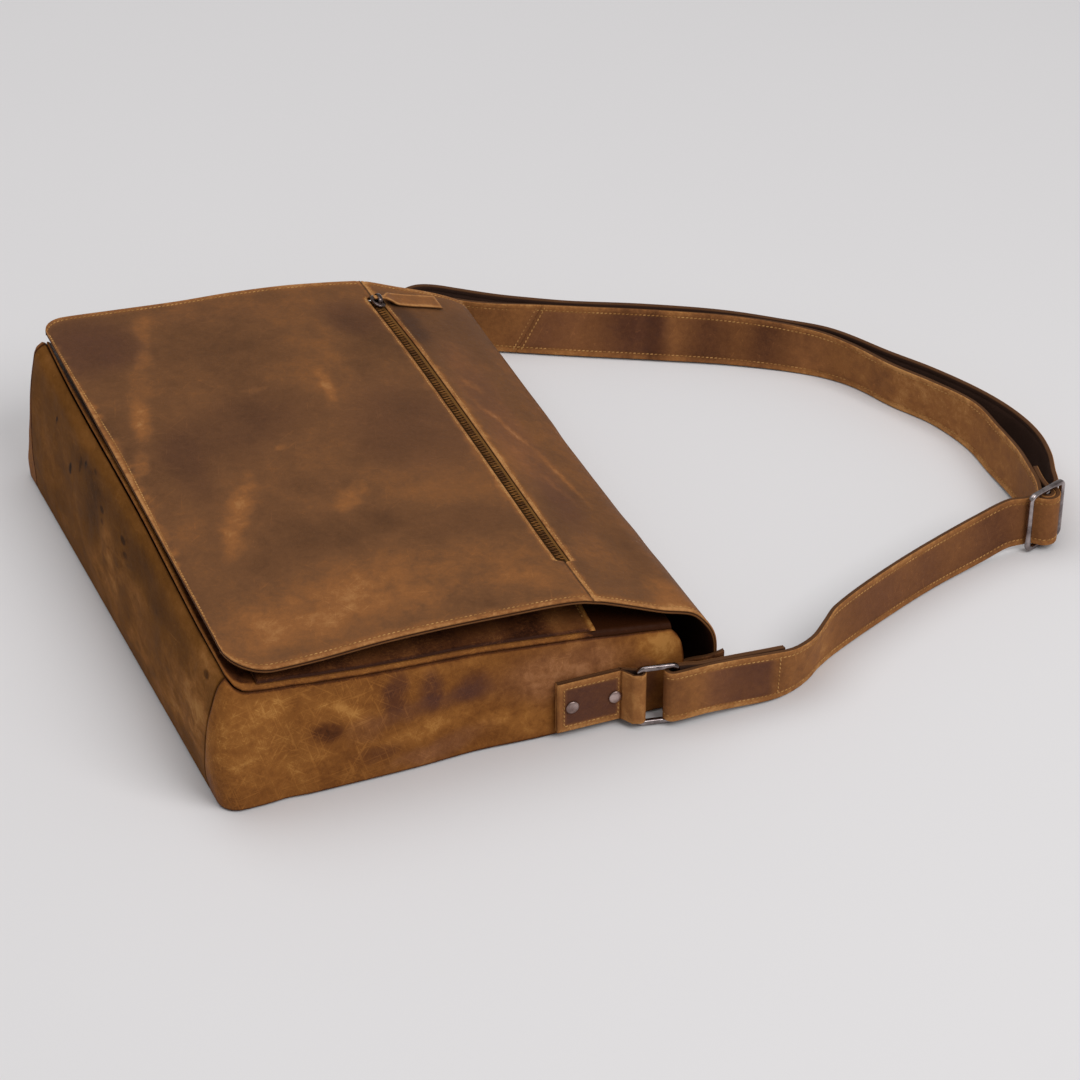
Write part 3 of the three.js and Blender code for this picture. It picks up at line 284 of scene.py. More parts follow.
# Leather grids: the space between lines, and closer lines towards an edge
GRID = 2.2
COARSE_GRID = 4.0
POCKET_GRID = 3.0
BACK_GRID_SHARE = 0.02
FRONT_COLUMNS = 45
EDGE_LINES = np.array([0, 0.12, 0.45, 1, 1.8, 2.7, 3.5, 4.3, 5.1, 6, 7.4])
CUT_LINES = np.array([0, 0.12, 0.45, 1, 2.2])
LIP_LINES = LIP_RADIUS * (1 - np.cos(np.radians(np.linspace(0, 90, 9))))
POCKET_LIP_LINES = LIP_LINES[5:]
CORNER_LINES = CORNER_RADIUS * (1 - np.cos(np.linspace(0, 1.57, 9)))

# Shoulders, and the lines along a rim: depth as a share of the thickness, how far out, and the finish of
# the strip above the line. The lowest strip is a cut edge.
GRAIN, FLESH, CUT = 0, 1, 2
SHOULDER = 0.7
WALL_SHOULDER = 1.0
LIP_SHOULDER = 0.5
TAPE_SHOULDER = 0.2
PULL_SHOULDER = 0.35
ONE_PLY_RIM = ((0.5, 0.1, CUT),)
TWO_PLY_RIM = ((0.4, 0, CUT), (0.48, -0.5, FLESH), (0.56, 0.45, FLESH), (0.88, 0.45, CUT))

# Stitches: their size, the arch of each, and the inset, depth and width of the dip that a row pulls in
TUBE_SIDES = 6
STITCH_PITCH = 2.9
ROW_POINTS = 20
STITCH = Settings(length=1.14, radius=0.42, rise=0.24, slant=0.2, flat=0.8, sunk=0.3)
STITCH_ARCH = table(
    "along width rise", (-1, 0.45, -2.4), (-0.72, 0.9, -0.1), (0, 1, 0.6), (0.72, 0.9, -0.1), (1, 0.45, -2.4)
)
STITCH_INSET = 4.3
STITCH_DIP = (STITCH_INSET, 0.4, 1.1)
ZIP_STITCH_INSET = 2.4
ZIP_STITCH_DIP = (ZIP_STITCH_INSET, 0.3, 0.8)
STRAP_STITCH_RISE = 3.9
STRAP_STITCH_DIP = (STRAP_STITCH_RISE, 0.35, 0.9)
# Rows of stitches on a piece: the side of its grid, the inset, and how far the row stops short at each end
POCKET_HEMS = ((1, STITCH_INSET, 8, 8),)
YOKE_HEMS = ((1, ZIP_STITCH_INSET, 4, 4), (2, STITCH_INSET, 6, 4), (3, STITCH_INSET, 6, 4))
PANEL_HEMS = (
    (0, ZIP_STITCH_INSET, ZIP_NEAR_Y - FLAP_NEAR_Y, FLAP_FAR_Y - ZIP_FAR_Y),
    (1, STITCH_INSET, 14, 8), (2, STITCH_INSET, 4, 8), (3, STITCH_INSET, 4, 5),
)

# Seeds of the unevenness on each piece
SEEDS = {
    "gusset_near": 10, "gusset_far": 11, "base": 12, "pocket_folds": 21, "pocket_creases": 22, "yoke": 31,
    "panel": 33, "panel_edge": 35, "yoke_lip": 36, "marks_along": 91, "marks_across": 93,
}
# Slow waves of the leather: height and size of each, how far from a seam they fade out, the lip beside the
# zip and the pocket's folds
BASE_WAVES = ((1, 34), (0.4, 12))
GUSSET_WAVES = ((0.8, 34), (0.32, 12))
WALL_FADE = 14
FLAP_WAVES = ((0.56, 60), (0.24, 22))
FLAP_FADE = 30
ZIP_LIP = Settings(depth=0.5, width=2.4)
POCKET_FOLDS = Settings(depth=0.25, size=16, stretch=0.2, fade=12)

# Wear and painted shade: how far the edges of marks stray and the size of that unevenness, then for each
# piece the distances between which a change sets in, and how much lighter or more purple it is.
# FLAP_SHADE and the pocket's plain darkening are painted shade under the flap.
MARK_STRAY = ((2.6, 17), (1.3, 6))
GUSSET_SCUFFS = Settings(reach=(-50, 5), less=0.7)
# FLAP_SHADE is painted shade that the flap casts on the front panel.
FLAP_SHADE = Settings(by_mouth=(74, 92), from_edge=(4.2, 7), covered=-0.5, mouth=-0.4, plum=0.3)
# The pocket's plain darkening is painted shade of the flap over it; its creases and hem bands are the
# leather's own.
POCKET_WEAR_AND_SHADE = Settings(plain=-0.26, creases=0.2, size=13, stretch=0.1, plum=0.4, plum_reach=(6, 2))
POCKET_HEM = ((0.6, 4.5, 1.2), (0.22, 40, 6))
FLAP_BORDER = Settings(reach=(9, 2), lighter=0.16)
YOKE_LIP = Settings(reach=(5, 1), lighter=0.26, ragged=((0.4, 5),))
PANEL_EDGE = Settings(reach=(7.5, 1.5), lighter=0.3, ragged=((0.5, 5),), plum_reach=(9, 3))
PANEL_ZIP_LIP = Settings(reach=(5.5, 0.8), lighter=0.22)
PANEL_SEWN = Settings(reach=(1.8, 0.4), lighter=-0.5)
PULL_WEAR = Settings(plain=0.16, edge=0.16, reach=(3, 0.5))
STRAP_WEAR = Settings(border=0.08, inner=(3.5, 5.5), box=-0.14, box_plum=0.85, start=(-8, 10), end=(-2, -6))
TAB_WEAR = Settings(plain=0.14, box=-0.34, box_plum=1.1, inner=(3.5, 6))
MOUTH_TAB_TONE = -0.34

# Tan and dark marks on the leather, left by wear, a few of them painted shade or sheen: middle, half length
# and half width, turn in degrees from the first axis, how much lighter, and how much purple shows
MARK_COLUMNS = "a b long wide turn tone plum"
FLAP_MARKS = table(
    MARK_COLUMNS,
    (-84, 134, 14, 6, 72, 0.15, 0), (-105, 68, 22, 7, 72, 0.21, 0), (-120, 18, 13, 6, 72, 0.23, 0),
    (-72, 170, 20, 6, 72, 0.09, 0), (-95, 100, 70, 8, 72, 0.07, 0), (-84, -56, 40, 7, 63, 0.23, 0),
    (-66, -20, 12, 5, 75, 0.09, 0), (14, 69, 19, 3.6, 88, 0.19, 0), (20, 84, 30, 18, 90, 0.05, 0),
    (-16, -62, 12, 7, 50, 0.19, 0), (-6, -48, 8, 5, 70, 0.12, 0), (-29, 76, 11, 3, 10, 0.13, 0),
    (-34, 7, 4, 3, 0, 0.14, 0), (0, -152, 95, 32, 3, 0.13, -0.24), (-76, -142, 52, 34, 10, 0.09, -0.24),
    # The darker purple row at -112, 158 is a painted sheen on the flap's far corner by its free edge.
    (-113, -166, 30, 22, 20, 0.11, -0.16), (-112, 158, 32, 34, 0, -0.12, 0.6),
    (-58, 38, 55, 30, 20, -0.13, 0.16), (50, 10, 44, 60, 0, -0.08, 0.24), (46, -98, 36, 18, 10, -0.09, 0.08),
    (-20, -86, 60, 14, 5, -0.07, 0), (-94, 4, 12, 40, 0, -0.06, 0.16), (30, 128, 30, 22, 0, 0.04, -0.08),
    (60, 150, 20, 24, 0, -0.09, 0.32), (-20, 178, 60, 14, -4, 0.05, 0.08),
)
YOKE_MARKS = table(
    MARK_COLUMNS,
    (94, 146, 12, 30, 0, -0.19, 0.12), (111, 0, 15, 105, 0, 0.05, 0.5), (113, -74, 14, 26, 0, -0.1, 0.18),
    (110, -142, 16, 26, 0, 0.12, 0), (140, -180, 16, 22, 0, 0.17, 0), (150, 0, 12, 160, 0, 0.07, 0.12),
    (102, -30, 10, 20, 0, 0.08, 0), (120, 100, 14, 30, 0, 0.04, 0.18), (112.5, 17, 28, 2.4, -71, 0.2, 0),
    (126, -42, 34, 2.4, -81, 0.2, 0), (110, 65, 13, 2.2, -73, 0.15, 0), (117, -62, 20, 2.2, -70, 0.13, 0),
)
GUSSET_MARKS = table(
    MARK_COLUMNS,
    (-80, 41, 9, 8, 0, -0.34, 0.2), (-37, 57, 8, 13, 0, -0.2, 0.6), (-15, 50, 7, 15, 0, -0.22, 0.7),
    (10, 46, 12, 11, 0, -0.16, 0.7), (22, 18, 9, 5, 20, 0.28, 0), (-74, 60, 18, 4, -30, 0.16, 0),
    (-64, 50, 14, 3, -50, 0.14, 0), (-6, 66, 22, 4, 0, 0.18, 0), (66, 44, 42, 18, 0, 0.22, 0.95),
    (-130, 47, 18, 30, 0, 0.1, 0), (-95, 18, 28, 11, 0, 0.1, 0), (128, 46, 15, 11, 0, 0.32, -0.3),
    (-48, 17, 15, 7, 0, -0.14, 0.3), (-12, 10, 30, 6, 8, 0.06, 0.8), (-14, 27, 34, 6, 8, 0.18, 0),
    (-112, 66, 14, 12, 0, 0.12, 0), (-20, 42, 34, 7, 0, -0.04, 0.6), (46, 14, 16, 12, 0, 0.2, 0),
    # The dark purple row at 116, 24 is painted shade on the gussets inside the rings.
    (116, 24, 9, 16, 0, -0.16, 0.6), (-58, 38, 12, 10, 0, 0.02, 0.4),
)
BASE_MARKS = table(
    MARK_COLUMNS,
    (93, 60, 1.9, 4.6, 8, -0.8, 0), (75, 72, 1.9, 4.2, 0, -0.8, 0), (125, 75, 1.7, 1.9, 0, -0.6, 0),
    (66, 78, 1.6, 1.9, 0, -0.5, 0), (108, 52, 1.5, 1.7, 0, -0.45, 0), (44, 53, 18, 20, 0, -0.16, 0),
    (-160, 62, 24, 30, 0, 0.16, 0), (-77, 45, 24, 22, 0, -0.14, 0), (-40, 75, 120, 9, 0, -0.1, 0),
    (-50, 36, 120, 27, 0, 0.13, 0), (0, 60, 30, 16, 0, 0.1, 0), (62, 78, 34, 9, 0, -0.1, 0),
    (140, 40, 30, 24, 0, 0.04, 0), (-20, 30, 10, 26, 12, -0.12, 0), (-120, 30, 30, 14, 0, 0.07, 0),
)
# Marks on the strap by place: its reach, how much lighter, and how much purple shows
STRAP_MARKS = table(
    "x y reach tone plum",
    (285, -164, 34, -0.06, 0.6), (356, -136, 26, -0.03, 0.2), (226, -196, 16, 0.16, 0),
    (328, -145, 14, -0.1, 0.3), (384, -128, 22, -0.18, 0.4), (152, -211, 14, 0.14, 0),
    (204, -208, 9, 0.06, 0), (300, 150, 140, -0.02, 0), (190, 214, 20, 0.08, -0.1),
    (214, 201, 13, -0.05, 0.4), (228, 194, 16, 0, 0.5),
    (266, 174, 22, -0.2, 0.65), (272, 171, 6, 0.1, 0), (281, 166, 9, -0.12, 0.2), (291, 160, 8, 0.12, 0),
    (312, 149, 13, -0.14, 0.3), (330, 139, 8, -0.02, 0), (346, 129, 11, -0.17, 0.3), (358, 120, 7, -0.06, 0),
    (371, 111, 14, 0.06, 0.3), (388, 90, 16, 0.04, 0), (397, 76, 12, 0.1, 0), (410, 44, 18, 0.2, 0),
    (424, 5, 26, 0.17, 0), (427, -30, 14, 0.04, 0), (427, -53, 18, 0.15, 0),
)

# Leather colours from dark to light, as red, green and blue from 0 to 255, and their places in the ramp
TONE_PLACES = (0, 0.28, 0.5, 0.72, 1)
FLAP_TONES = ((50, 30, 19), (82, 54, 34), (111, 74, 46), (141, 91, 51), (184, 131, 80))
BODY_TONES = ((55, 27, 11), (96, 54, 24), (131, 81, 37), (153, 99, 47), (182, 127, 66))
BASE_TONES = ((44, 26, 9), (79, 48, 19), (112, 71, 31), (140, 92, 48), (178, 128, 74))
STRAP_TONES = ((50, 28, 16), (88, 53, 31), (126, 81, 47), (154, 102, 57), (194, 140, 84))
PLUM_PLACES = (0, 0.3, 0.5, 0.72, 1)
PLUM_TONES = ((62, 38, 32), (90, 57, 47), (103, 66, 52), (128, 83, 60), (160, 108, 76))

# Unevenness of the grain: its shift, times the seed, then cells to the metre, detail, roughness and warp of
# each noise, the shares of the small ones, and those that make patches
GRAIN_SHIFT = (1.37, 0.71, 2.11)
GRAIN_NOISE = {
    "broad": (11, 3, 0.55, 0.6), "blotch": (48, 5, 0.62, 0.4), "fleck": (120, 5, 0.68, 0.5),
    "small": (320, 4, 0.65), "pore": (1500, 2, 0.6),
}
FINE_SHARES = {"small": 0.26, "pore": 0.14}
PATCHY_SHARES = {"blotch": 0.45, "fleck": 0.55}
PATCHY = (0.36, 0.64)
# Creases: the noise that bends them, then cells to the metre and width of the broad and the fine ones, the
# noise of the patches they keep to, and the range over which these patches begin
CREASE_BEND = (30, 3)
CREASE_CELLS, CREASE_WIDTH = 34, 0.03
CREASE_PATCHES, CREASE_RANGE = (19, 2), (0.5, 0.66)
FINE_CELLS, FINE_WIDTH = 120, 0.07
FINE_RANGE, FINE_CREASE = (0.46, 0.62), 0.6
SPECK_CELLS, SPECK_EDGE = 70, (0.1, 0.2)
SPECK_PATCHES, SPECK_RANGE = (16, 2), (0.56, 0.66)
PEBBLE_CELLS = 900
# Scratches: the axis they turn round on a wall that faces that way and their stretch, their directions in
# degrees, the range of noise that makes a line, the patches they keep to, and their noise and its shift
SCRATCHES_ON = {"x": (0, (760, 26, 760)), "y": (1, (26, 760, 760)), "z": (2, (26, 760, 760))}
SCRATCH_TURNS = (12, -38, 58, -74)
SCRATCH_LINE, SCRATCH_RANGE = (0.66, 0.73), (0.36, 0.56)
SCRATCH_NOISE = (1, 2, 0.6, 0.5)
SCRATCH_SHIFT = (0.37, 0.6, 0.23)
# Lightness of rubbed edges varies with the noise between these shares, lighter edges more than darker ones
RUB_RANGE = (0.3, 0.7)
RUB_LIGHTER, RUB_DARKER = (0.4, 1.4), (0.85, 1.1)
# Purple varies between these shares and covers so much of the tan; roughness follows the lightness; pebbles,
# small unevenness, creases, fine creases and scratches raise the bump by their shares
PLUM_RANGE, PLUM_COVER = (0.6, 1.0), 0.8
GRAIN_ROUGHNESS = (0.15, 0.85, 0.46, 0.64)
BUMP_SHARES = (0.35, 0.7, -0.5, -0.4, -0.25)
GRAIN_BUMP = (0.4, 0.0006)
LEATHER_IOR = 1.45
# Fibrous leather, on its flesh side and at a cut edge: shift of its noise, patches and fibres, the share of
# the patches, roughness, bump and gloss
FLESH_SIDE = Settings(
    shift=(0.9, 1.7, 0.4), patches=(40, 4, 0.6), fibres=(1300, 3, 0.7), share=0.7,
    roughness=0.85, bump=(0.5, 0.0005), gloss=0.06,
)
CUT_EDGE = Settings(
    shift=(1, 0.3, 1.9), patches=(60, 3), fibres=(700, 4, 0.65), share=0.6,
    roughness=0.6, bump=(0.4, 0.0004), gloss=0.1,
)
# Thread, zip tape and metal: their noises, the ranges these are spread over, bump, roughness and gloss
THREAD = Settings(
    patches=(90, 3), spread=(0.35, 0.65), twist=(2600, 2), bump=(0.4, 0.0003), roughness=0.62, gloss=0.12
)
TAPE = Settings(ribs=420.0, wander=0.4, bump=(0.6, 0.0004), roughness=0.85, gloss=0.08)
WORN_METAL = Settings(
    patches=(110, 3, 0.55), spread=(0.35, 0.7), dull=(0.3, 0.7), duller=0.1,
    stretch=(300, 300, 2600), lines=(1, 3, 0.6), bump=(0.02, 0.0002),
)

# Floor, light and camera, in metres
FLOOR = Settings(
    half=12.0, sink=0.0004, low=(224, 222, 223), high=(226, 224, 225), patches=(3, 2), roughness=0.9
)
WORLD_LIGHT = 0.35
LIGHTS = {
    "key": Settings(place=(1.0, -2.0, 2.4), target=(0.1, 0, 0.05), size=1.8, power=48),
    "overhead": Settings(place=(-0.4, 0.6, 2.6), target=(0.1, 0, 0), size=2.4, power=28),
}
CAMERA = Settings(
    turn=math.radians(-22.21339), rise=math.radians(34.34245), roll=math.radians(0.22514),
    target=(0.127854, -0.005152, 0.0), distance=2.26336, lens=120.0, sensor=36.0, far=100.0,
)


# Curves and grids


def follow(rows, key, column, at):
    """Value on the smooth curve through a table's rows: a cubic between two rows, whose slope at each row
    is that of the line through the rows on either side of it."""
    keys, values = rows[key], rows[column]
    last = len(keys) - 1
    before = np.maximum(np.arange(last + 1) - 1, 0)
    after = np.minimum(np.arange(last + 1) + 1, last)
    slopes = (values[after] - values[before]) / (keys[after] - keys[before])
    start = np.clip(np.searchsorted(keys, at) - 1, 0, last - 1)
    span = keys[start + 1] - keys[start]
    share = (at - keys[start]) / span
    square, cube = share**2, share**3
    rise = (values[start + 1] - values[start]) * (3 * square - 2 * cube)
    bend = slopes[start] * (cube - 2 * square + share) + slopes[start + 1] * (cube - square)
    return values[start] + rise + bend * span


def smooth_step(low, high, value):
    """0 below low and 1 above high, with a smooth rise between; it falls where low is above high."""
    share = np.clip((value - low) / (high - low), 0, 1)
    return share * share * (3 - 2 * share)


def mottle(a, b, size, seed):
    """Smooth unevenness from -1 to 1: seeded values on a square lattice of that size, blended between."""
    cells = 64
    lattice = np.random.default_rng(seed).uniform(-1, 1, (cells, cells))
    across, along = a / size, b / size
    i, j = np.floor(across).astype(int), np.floor(along).astype(int)
    p, q = smooth_step(0, 1, across - i), smooth_step(0, 1, along - j)
    i, j, i_next, j_next = i % cells, j % cells, (i + 1) % cells, (j + 1) % cells
    low = lattice[i, j] * (1 - q) + lattice[i, j_next] * q
    high = lattice[i_next, j] * (1 - q) + lattice[i_next, j_next] * q
    return low * (1 - p) + high * p


def waves(a, b, sizes, seed):
    """Sum of unevenness of several heights and sizes, each with the next seed."""
    return sum(height * mottle(a, b, size, seed + k) for k, (height, size) in enumerate(sizes))


def unit(vectors):
    """Vectors brought to length 1."""
    return vectors / np.maximum(np.linalg.norm(vectors, axis=-1, keepdims=True), 1e-9)


def stack(*parts):
    """Points from their x, y and z arrays."""
    return np.stack(np.broadcast_arrays(*parts), axis=-1)


def grid(rows, columns):
    """Two parameters on a grid, from the values of its rows and of its columns."""
    return np.meshgrid(rows, columns, indexing="ij")


def spread(length, spacing, low, high):
    """Places from 0 to length: the given close lines at each end, and even ones about spacing apart."""
    count = max(round((length - low[-1] - high[-1]) / spacing), 1)
    middle = np.linspace(low[-1], length - high[-1], count + 1)
    return np.concatenate([low[:-1], middle, length - high[-2::-1]])


def full_turn(count):
    """Angles once round, in equal steps."""
    return np.linspace(0, 2 * math.pi, count, endpoint=False)


def bulge(value, power):
    """A power of the value, with the value's sign."""
    return np.sign(value) * np.abs(value) ** power


def run_along(path):
    """Distance along a path to each of its points."""
    return np.concatenate([[0], np.cumsum(np.linalg.norm(np.diff(path, axis=0), axis=1))])


def resample(path, spacing, normals):
    """Points evenly spaced along a path, and the normals there."""
    run = run_along(path)
    count = max(round(run[-1] / spacing), 2)
    at = (np.arange(count) + 0.5) * run[-1] / count
    return [stack(*(np.interp(at, run, part) for part in value.T)) for value in (path, normals)]


def leather_marks(marks, a, b):
    """Lightness and purple of marks, left by wear or painted as shade or sheen: a spot for each row of the
    table, turned and stretched, that falls off steeply, with the fourth power of the distance, and whose
    edge strays by a few millimetres."""
    tone, plum = np.zeros(a.shape), np.zeros(a.shape)
    stray = [waves(a, b, MARK_STRAY, SEEDS[seed]) for seed in ("marks_along", "marks_across")]
    a, b = a + stray[0], b + stray[1]
    for middle_a, middle_b, long, wide, turn, lighter, purple in zip(*marks.values()):
        cosine, sine = math.cos(math.radians(turn)), math.sin(math.radians(turn))
        along = (a - middle_a) * cosine + (b - middle_b) * sine
        across = (b - middle_b) * cosine - (a - middle_a) * sine
        spot = np.exp(-(((along / long) ** 2 + (across / wide) ** 2) ** 2))
        tone += lighter * spot
        plum += purple * spot
    return tone, plum


# Making of meshes and pieces


def grid_faces(rows, columns, closed=False):
    """Quads of a grid of points, which may close on itself across its columns."""
    row, column = grid(np.arange(rows - 1), np.arange(columns if closed else columns - 1))
    beside = (column + 1) % columns
    first, after = row * columns, (row + 1) * columns
    return stack(first + column, after + column, after + beside, first + beside).reshape(-1, 4)


def end_caps(rows, columns):
    """Faces that close the first and the last row of a tube's grid."""
    ring = np.arange(columns)
    return np.stack([ring, (rows - 1) * columns + ring[::-1]])


def closed_outwards(points, *parts):
    """Lists of faces of a closed mesh, all turned over if together they enclose a negative volume."""
    volume = 0.0
    for faces in parts:
        for k in range(1, faces.shape[1] - 1):
            a, b, c = points[faces[:, 0]], points[faces[:, k]], points[faces[:, k + 1]]
            volume += np.einsum("ij,ij->", a, np.cross(b, c))
    return [faces if volume > 0 else faces[:, ::-1] for faces in parts]


def merge_equal_points(mesh):
    """Points that lie in one place become one."""
    shape = bmesh.new()
    shape.from_mesh(mesh)
    bmesh.ops.remove_doubles(shape, verts=shape.verts, dist=MERGE_DISTANCE)
    shape.to_mesh(mesh)
    shape.free()
    mesh.update()


def place_object(name, data):
    """An object in the scene that shows a mesh, lamp or camera."""
    placed = bpy.data.objects.new(name, data)
    bpy.context.scene.collection.objects.link(placed)
    return placed


def make_piece(name, points, faces, finishes, nodes=(), finish_of=None, values=None):
    """An object of the bag from points in millimetres, lists of faces, and values on the points."""
    mesh = bpy.data.meshes.new(name)
    mesh.from_pydata(points * MM, [], [corners for part in faces for corners in part.tolist()])
    mesh.polygons.foreach_set("use_smooth", np.ones(len(mesh.polygons), bool))
    for finish in finishes:
        mesh.materials.append(finish)
    if finish_of is not None:
        mesh.polygons.foreach_set("material_index", np.concatenate(finish_of).astype(np.int32))
    for label, value in (values or {}).items():
        store = mesh.attributes.new(label, "FLOAT", "POINT")
        store.data.foreach_set("value", value.ravel().astype(np.float32))
    merge_equal_points(mesh)
    piece = place_object(name, mesh)
    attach(piece, "root")
    if nodes:
        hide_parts(*nodes)


def surface_normal(place, u, w, outward):
    """Unit normal of a surface, from its slopes along its two parameters."""
    step = 0.01
    along = place(u + step, w) - place(u - step, w)
    across = place(u, w + step) - place(u, w - step)
    return unit(np.cross(along, across)) * outward


def side_distances(points):
    """Distance of each grid point from the grid's first and last row and first and last column."""
    down = np.cumsum(np.linalg.norm(np.diff(points, axis=0), axis=-1), axis=0)
    across = np.cumsum(np.linalg.norm(np.diff(points, axis=1), axis=-1), axis=1)
    from_row = np.pad(down, ((1, 0), (0, 0)))
    from_column = np.pad(across, ((0, 0), (1, 0)))
    return from_row, from_row[-1:] - from_row, from_column, from_column[:, -1:] - from_column


def nearest(sides):
    """Distance from the nearest side of a grid."""
    return np.minimum.reduce(sides)


def border(rows, columns):
    """Indices of a grid's border points, once round."""
    index = np.arange(rows * columns).reshape(rows, columns)
    return np.concatenate([index[0, :-1], index[:-1, -1], index[-1, :0:-1], index[:0:-1, 0]])


def border_outwards(points):
    """Directions in the surface that point out of the grid at its border points."""
    away = np.zeros(points.shape)
    away[:, 0] = unit(points[:, 0] - points[:, 1])
    away[:, -1] = unit(points[:, -1] - points[:, -2])
    away[0] += unit(points[0] - points[1])
    away[-1] += unit(points[-1] - points[-2])
    return unit(away)


def round_shoulder(distance, radius):
    """Depth below the surface of a quarter-round edge, at a distance from that edge."""
    short = np.clip(radius - distance, 0, radius)
    return radius - np.sqrt(radius**2 - short**2)


def stitch_groove(distance, inset, depth, width):
    """Depth of the dip that a row of stitches pulls into the leather: a bell over the row."""
    return depth * np.exp(-(((distance - inset) / width) ** 2))


def leather_piece(name, place, u, w, thickness, outward, finishes, nodes,
                  relief=None, marks=None, raised=0.0, rim=ONE_PLY_RIM, shoulder=SHOULDER, scuffs=None):
    """A piece of leather: an outer face on the surface place(u, w), an inner face sunk by the thickness,
    round shoulders at the border, and a rim between them along the rim's lines. Returns the outer face's
    points and normals."""
    surface = place(u, w)
    normal = surface_normal(place, u, w, outward)
    sides = side_distances(surface)
    edge = nearest(sides)
    plain = np.zeros(edge.shape)
    rise = relief(surface, sides) if relief else plain
    tone, plum = marks(surface, sides) if marks else (plain, plain)
    scuff = scuffs(surface) if scuffs else plain + 1
    drop = round_shoulder(edge, shoulder)
    outer = surface + normal * (raised + rise - drop)[..., None]
    inner = surface + normal * (raised + rise / 2 - thickness + drop)[..., None]
    loop = border(*edge.shape)
    on_rim, up_rim, away = (
        field.reshape(-1, 3)[loop] for field in (surface, normal, border_outwards(surface))
    )
    rims = [on_rim + up_rim * (raised - share * thickness) + away * out for share, out, _ in rim]
    points = np.concatenate([outer.reshape(-1, 3), inner.reshape(-1, 3), *rims])
    size, around = edge.size, np.arange(len(loop))
    chain = [loop, *(2 * size + len(loop) * k + around for k in range(len(rims))), loop + size]
    strips = [
        np.stack([upper, np.roll(upper, -1), np.roll(lower, -1), lower], axis=1)
        for upper, lower in zip(chain, chain[1:])
    ]
    quads = grid_faces(*edge.shape)
    faces = closed_outwards(points, quads, size + quads[:, ::-1], *strips)
    kinds = (GRAIN, FLESH, *(kind for _, _, kind in rim), CUT)
    source = np.concatenate([np.arange(size), np.arange(size), *[loop] * len(rims)])
    values = {"tone": tone, "plum": plum, "edge": edge, "scuff": scuff}
    make_piece(
        name, points, faces, finishes, nodes,
        [np.full(len(part), kind) for part, kind in zip(faces, kinds)],
        {label: value.ravel()[source] for label, value in values.items()},
    )
    return outer, normal


def sweep(name, path, side, up, section, finishes, nodes=(), closed=False, kinds=None, values=None,
          slip=0.0):
    """A profile carried along a path: each station has the profile's two axes, side and up, and its points
    may slip a little along the path. Each strip along it may have a finish of its own."""
    side, up = np.broadcast_to(side, path.shape), np.broadcast_to(up, path.shape)
    points = path[:, None] + side[:, None] * section[:, :1] + up[:, None] * section[:, 1:] + slip
    stations, count = points.shape[:2]
    points = points.reshape(-1, 3)
    body = grid_faces(stations + 1 if closed else stations, count, closed=True) % len(points)
    ends = end_caps(stations, count)[: 0 if closed else 2]
    finish_of = None
    if kinds is not None:
        finish_of = [np.tile(kinds, len(body) // count), np.full(len(ends), GRAIN)]
    make_piece(name, points, closed_outwards(points, body, ends), finishes, nodes, finish_of, values)


def closed_tubes(name, rings, finish, nodes=()):
    """One tube or many, closed at both ends, from the rings of points along each."""
    count, along, around = rings.shape[:3]
    points = rings.reshape(-1, 3)
    first = np.arange(count)[:, None, None] * (along * around)
    body = (grid_faces(along, around, closed=True) + first).reshape(-1, 4)
    caps = (end_caps(along, around) + first).reshape(-1, around)
    make_piece(name, points, closed_outwards(points, body, caps), [finish], nodes)


def stitch_rows(name, rows):
    """Rows of stitches, each row a path with its surface normals: every stitch is a short thread, a
    hexagon carried along a low arch, whose two ends go down into the leather."""
    reach = STITCH.length * STITCH_ARCH["along"][:, None]
    rise = STITCH.rise * STITCH_ARCH["rise"][:, None]
    radius = STITCH.radius * STITCH_ARCH["width"][:, None]
    angle = full_turn(TUBE_SIDES)
    wide, high = (radius * np.cos(angle))[..., None], (STITCH.flat * radius * np.sin(angle))[..., None]
    blocks = []
    for path, normals in rows:
        centre, upward = resample(path, STITCH_PITCH, normals)
        upward = unit(upward)
        along = unit(np.gradient(centre, axis=0))
        along = unit(along + STITCH.slant * unit(np.cross(upward, along)))
        beside = np.cross(upward, along)
        spine = centre[:, None] + along[:, None] * reach + upward[:, None] * rise
        blocks.append(spine[:, :, None] + beside[:, None, None] * wide + upward[:, None, None] * high)
    closed_tubes(name, np.concatenate(blocks), thread)


def row_inset(outer, normal, sides, side, inset, low, high):
    """Path on a leather grid that keeps an inset from one side, stopping short of the grid's other sides:
    on each grid line that runs away from the side, the point at that distance."""
    lines, field, upward = (
        np.swapaxes(part, 0, 1) if side < 2 else part for part in (sides[side], outer, normal)
    )
    order = -1 if side in (1, 3) else 1

    def pick(values):
        """Values at the inset on each line, read between the grid's points."""
        return np.array([
            [np.interp(inset, line[::order], part[::order, k]) for k in range(3)]
            for line, part in zip(lines, values)
        ])

    path, up = pick(field), pick(upward)
    run = run_along(path)
    keep = (run >= low) & (run <= run[-1] - high)
    return path[keep], up[keep]


def hem_stitches(name, outer, normal, hems):
    """Rows of stitches along the sides of a leather grid."""
    sides = side_distances(outer)
    stitch_rows(name, [row_inset(outer, normal, sides, *hem) for hem in hems])


# Finishes


def srgb(red, green, blue):
    """Colour for a shader from the usual 0 to 255 values."""
    share = np.array([red, green, blue]) / 255
    linear = np.where(share <= 0.04045, share / 12.92, ((share + 0.055) / 1.055) ** 2.4)
    return (*linear.tolist(), 1.0)


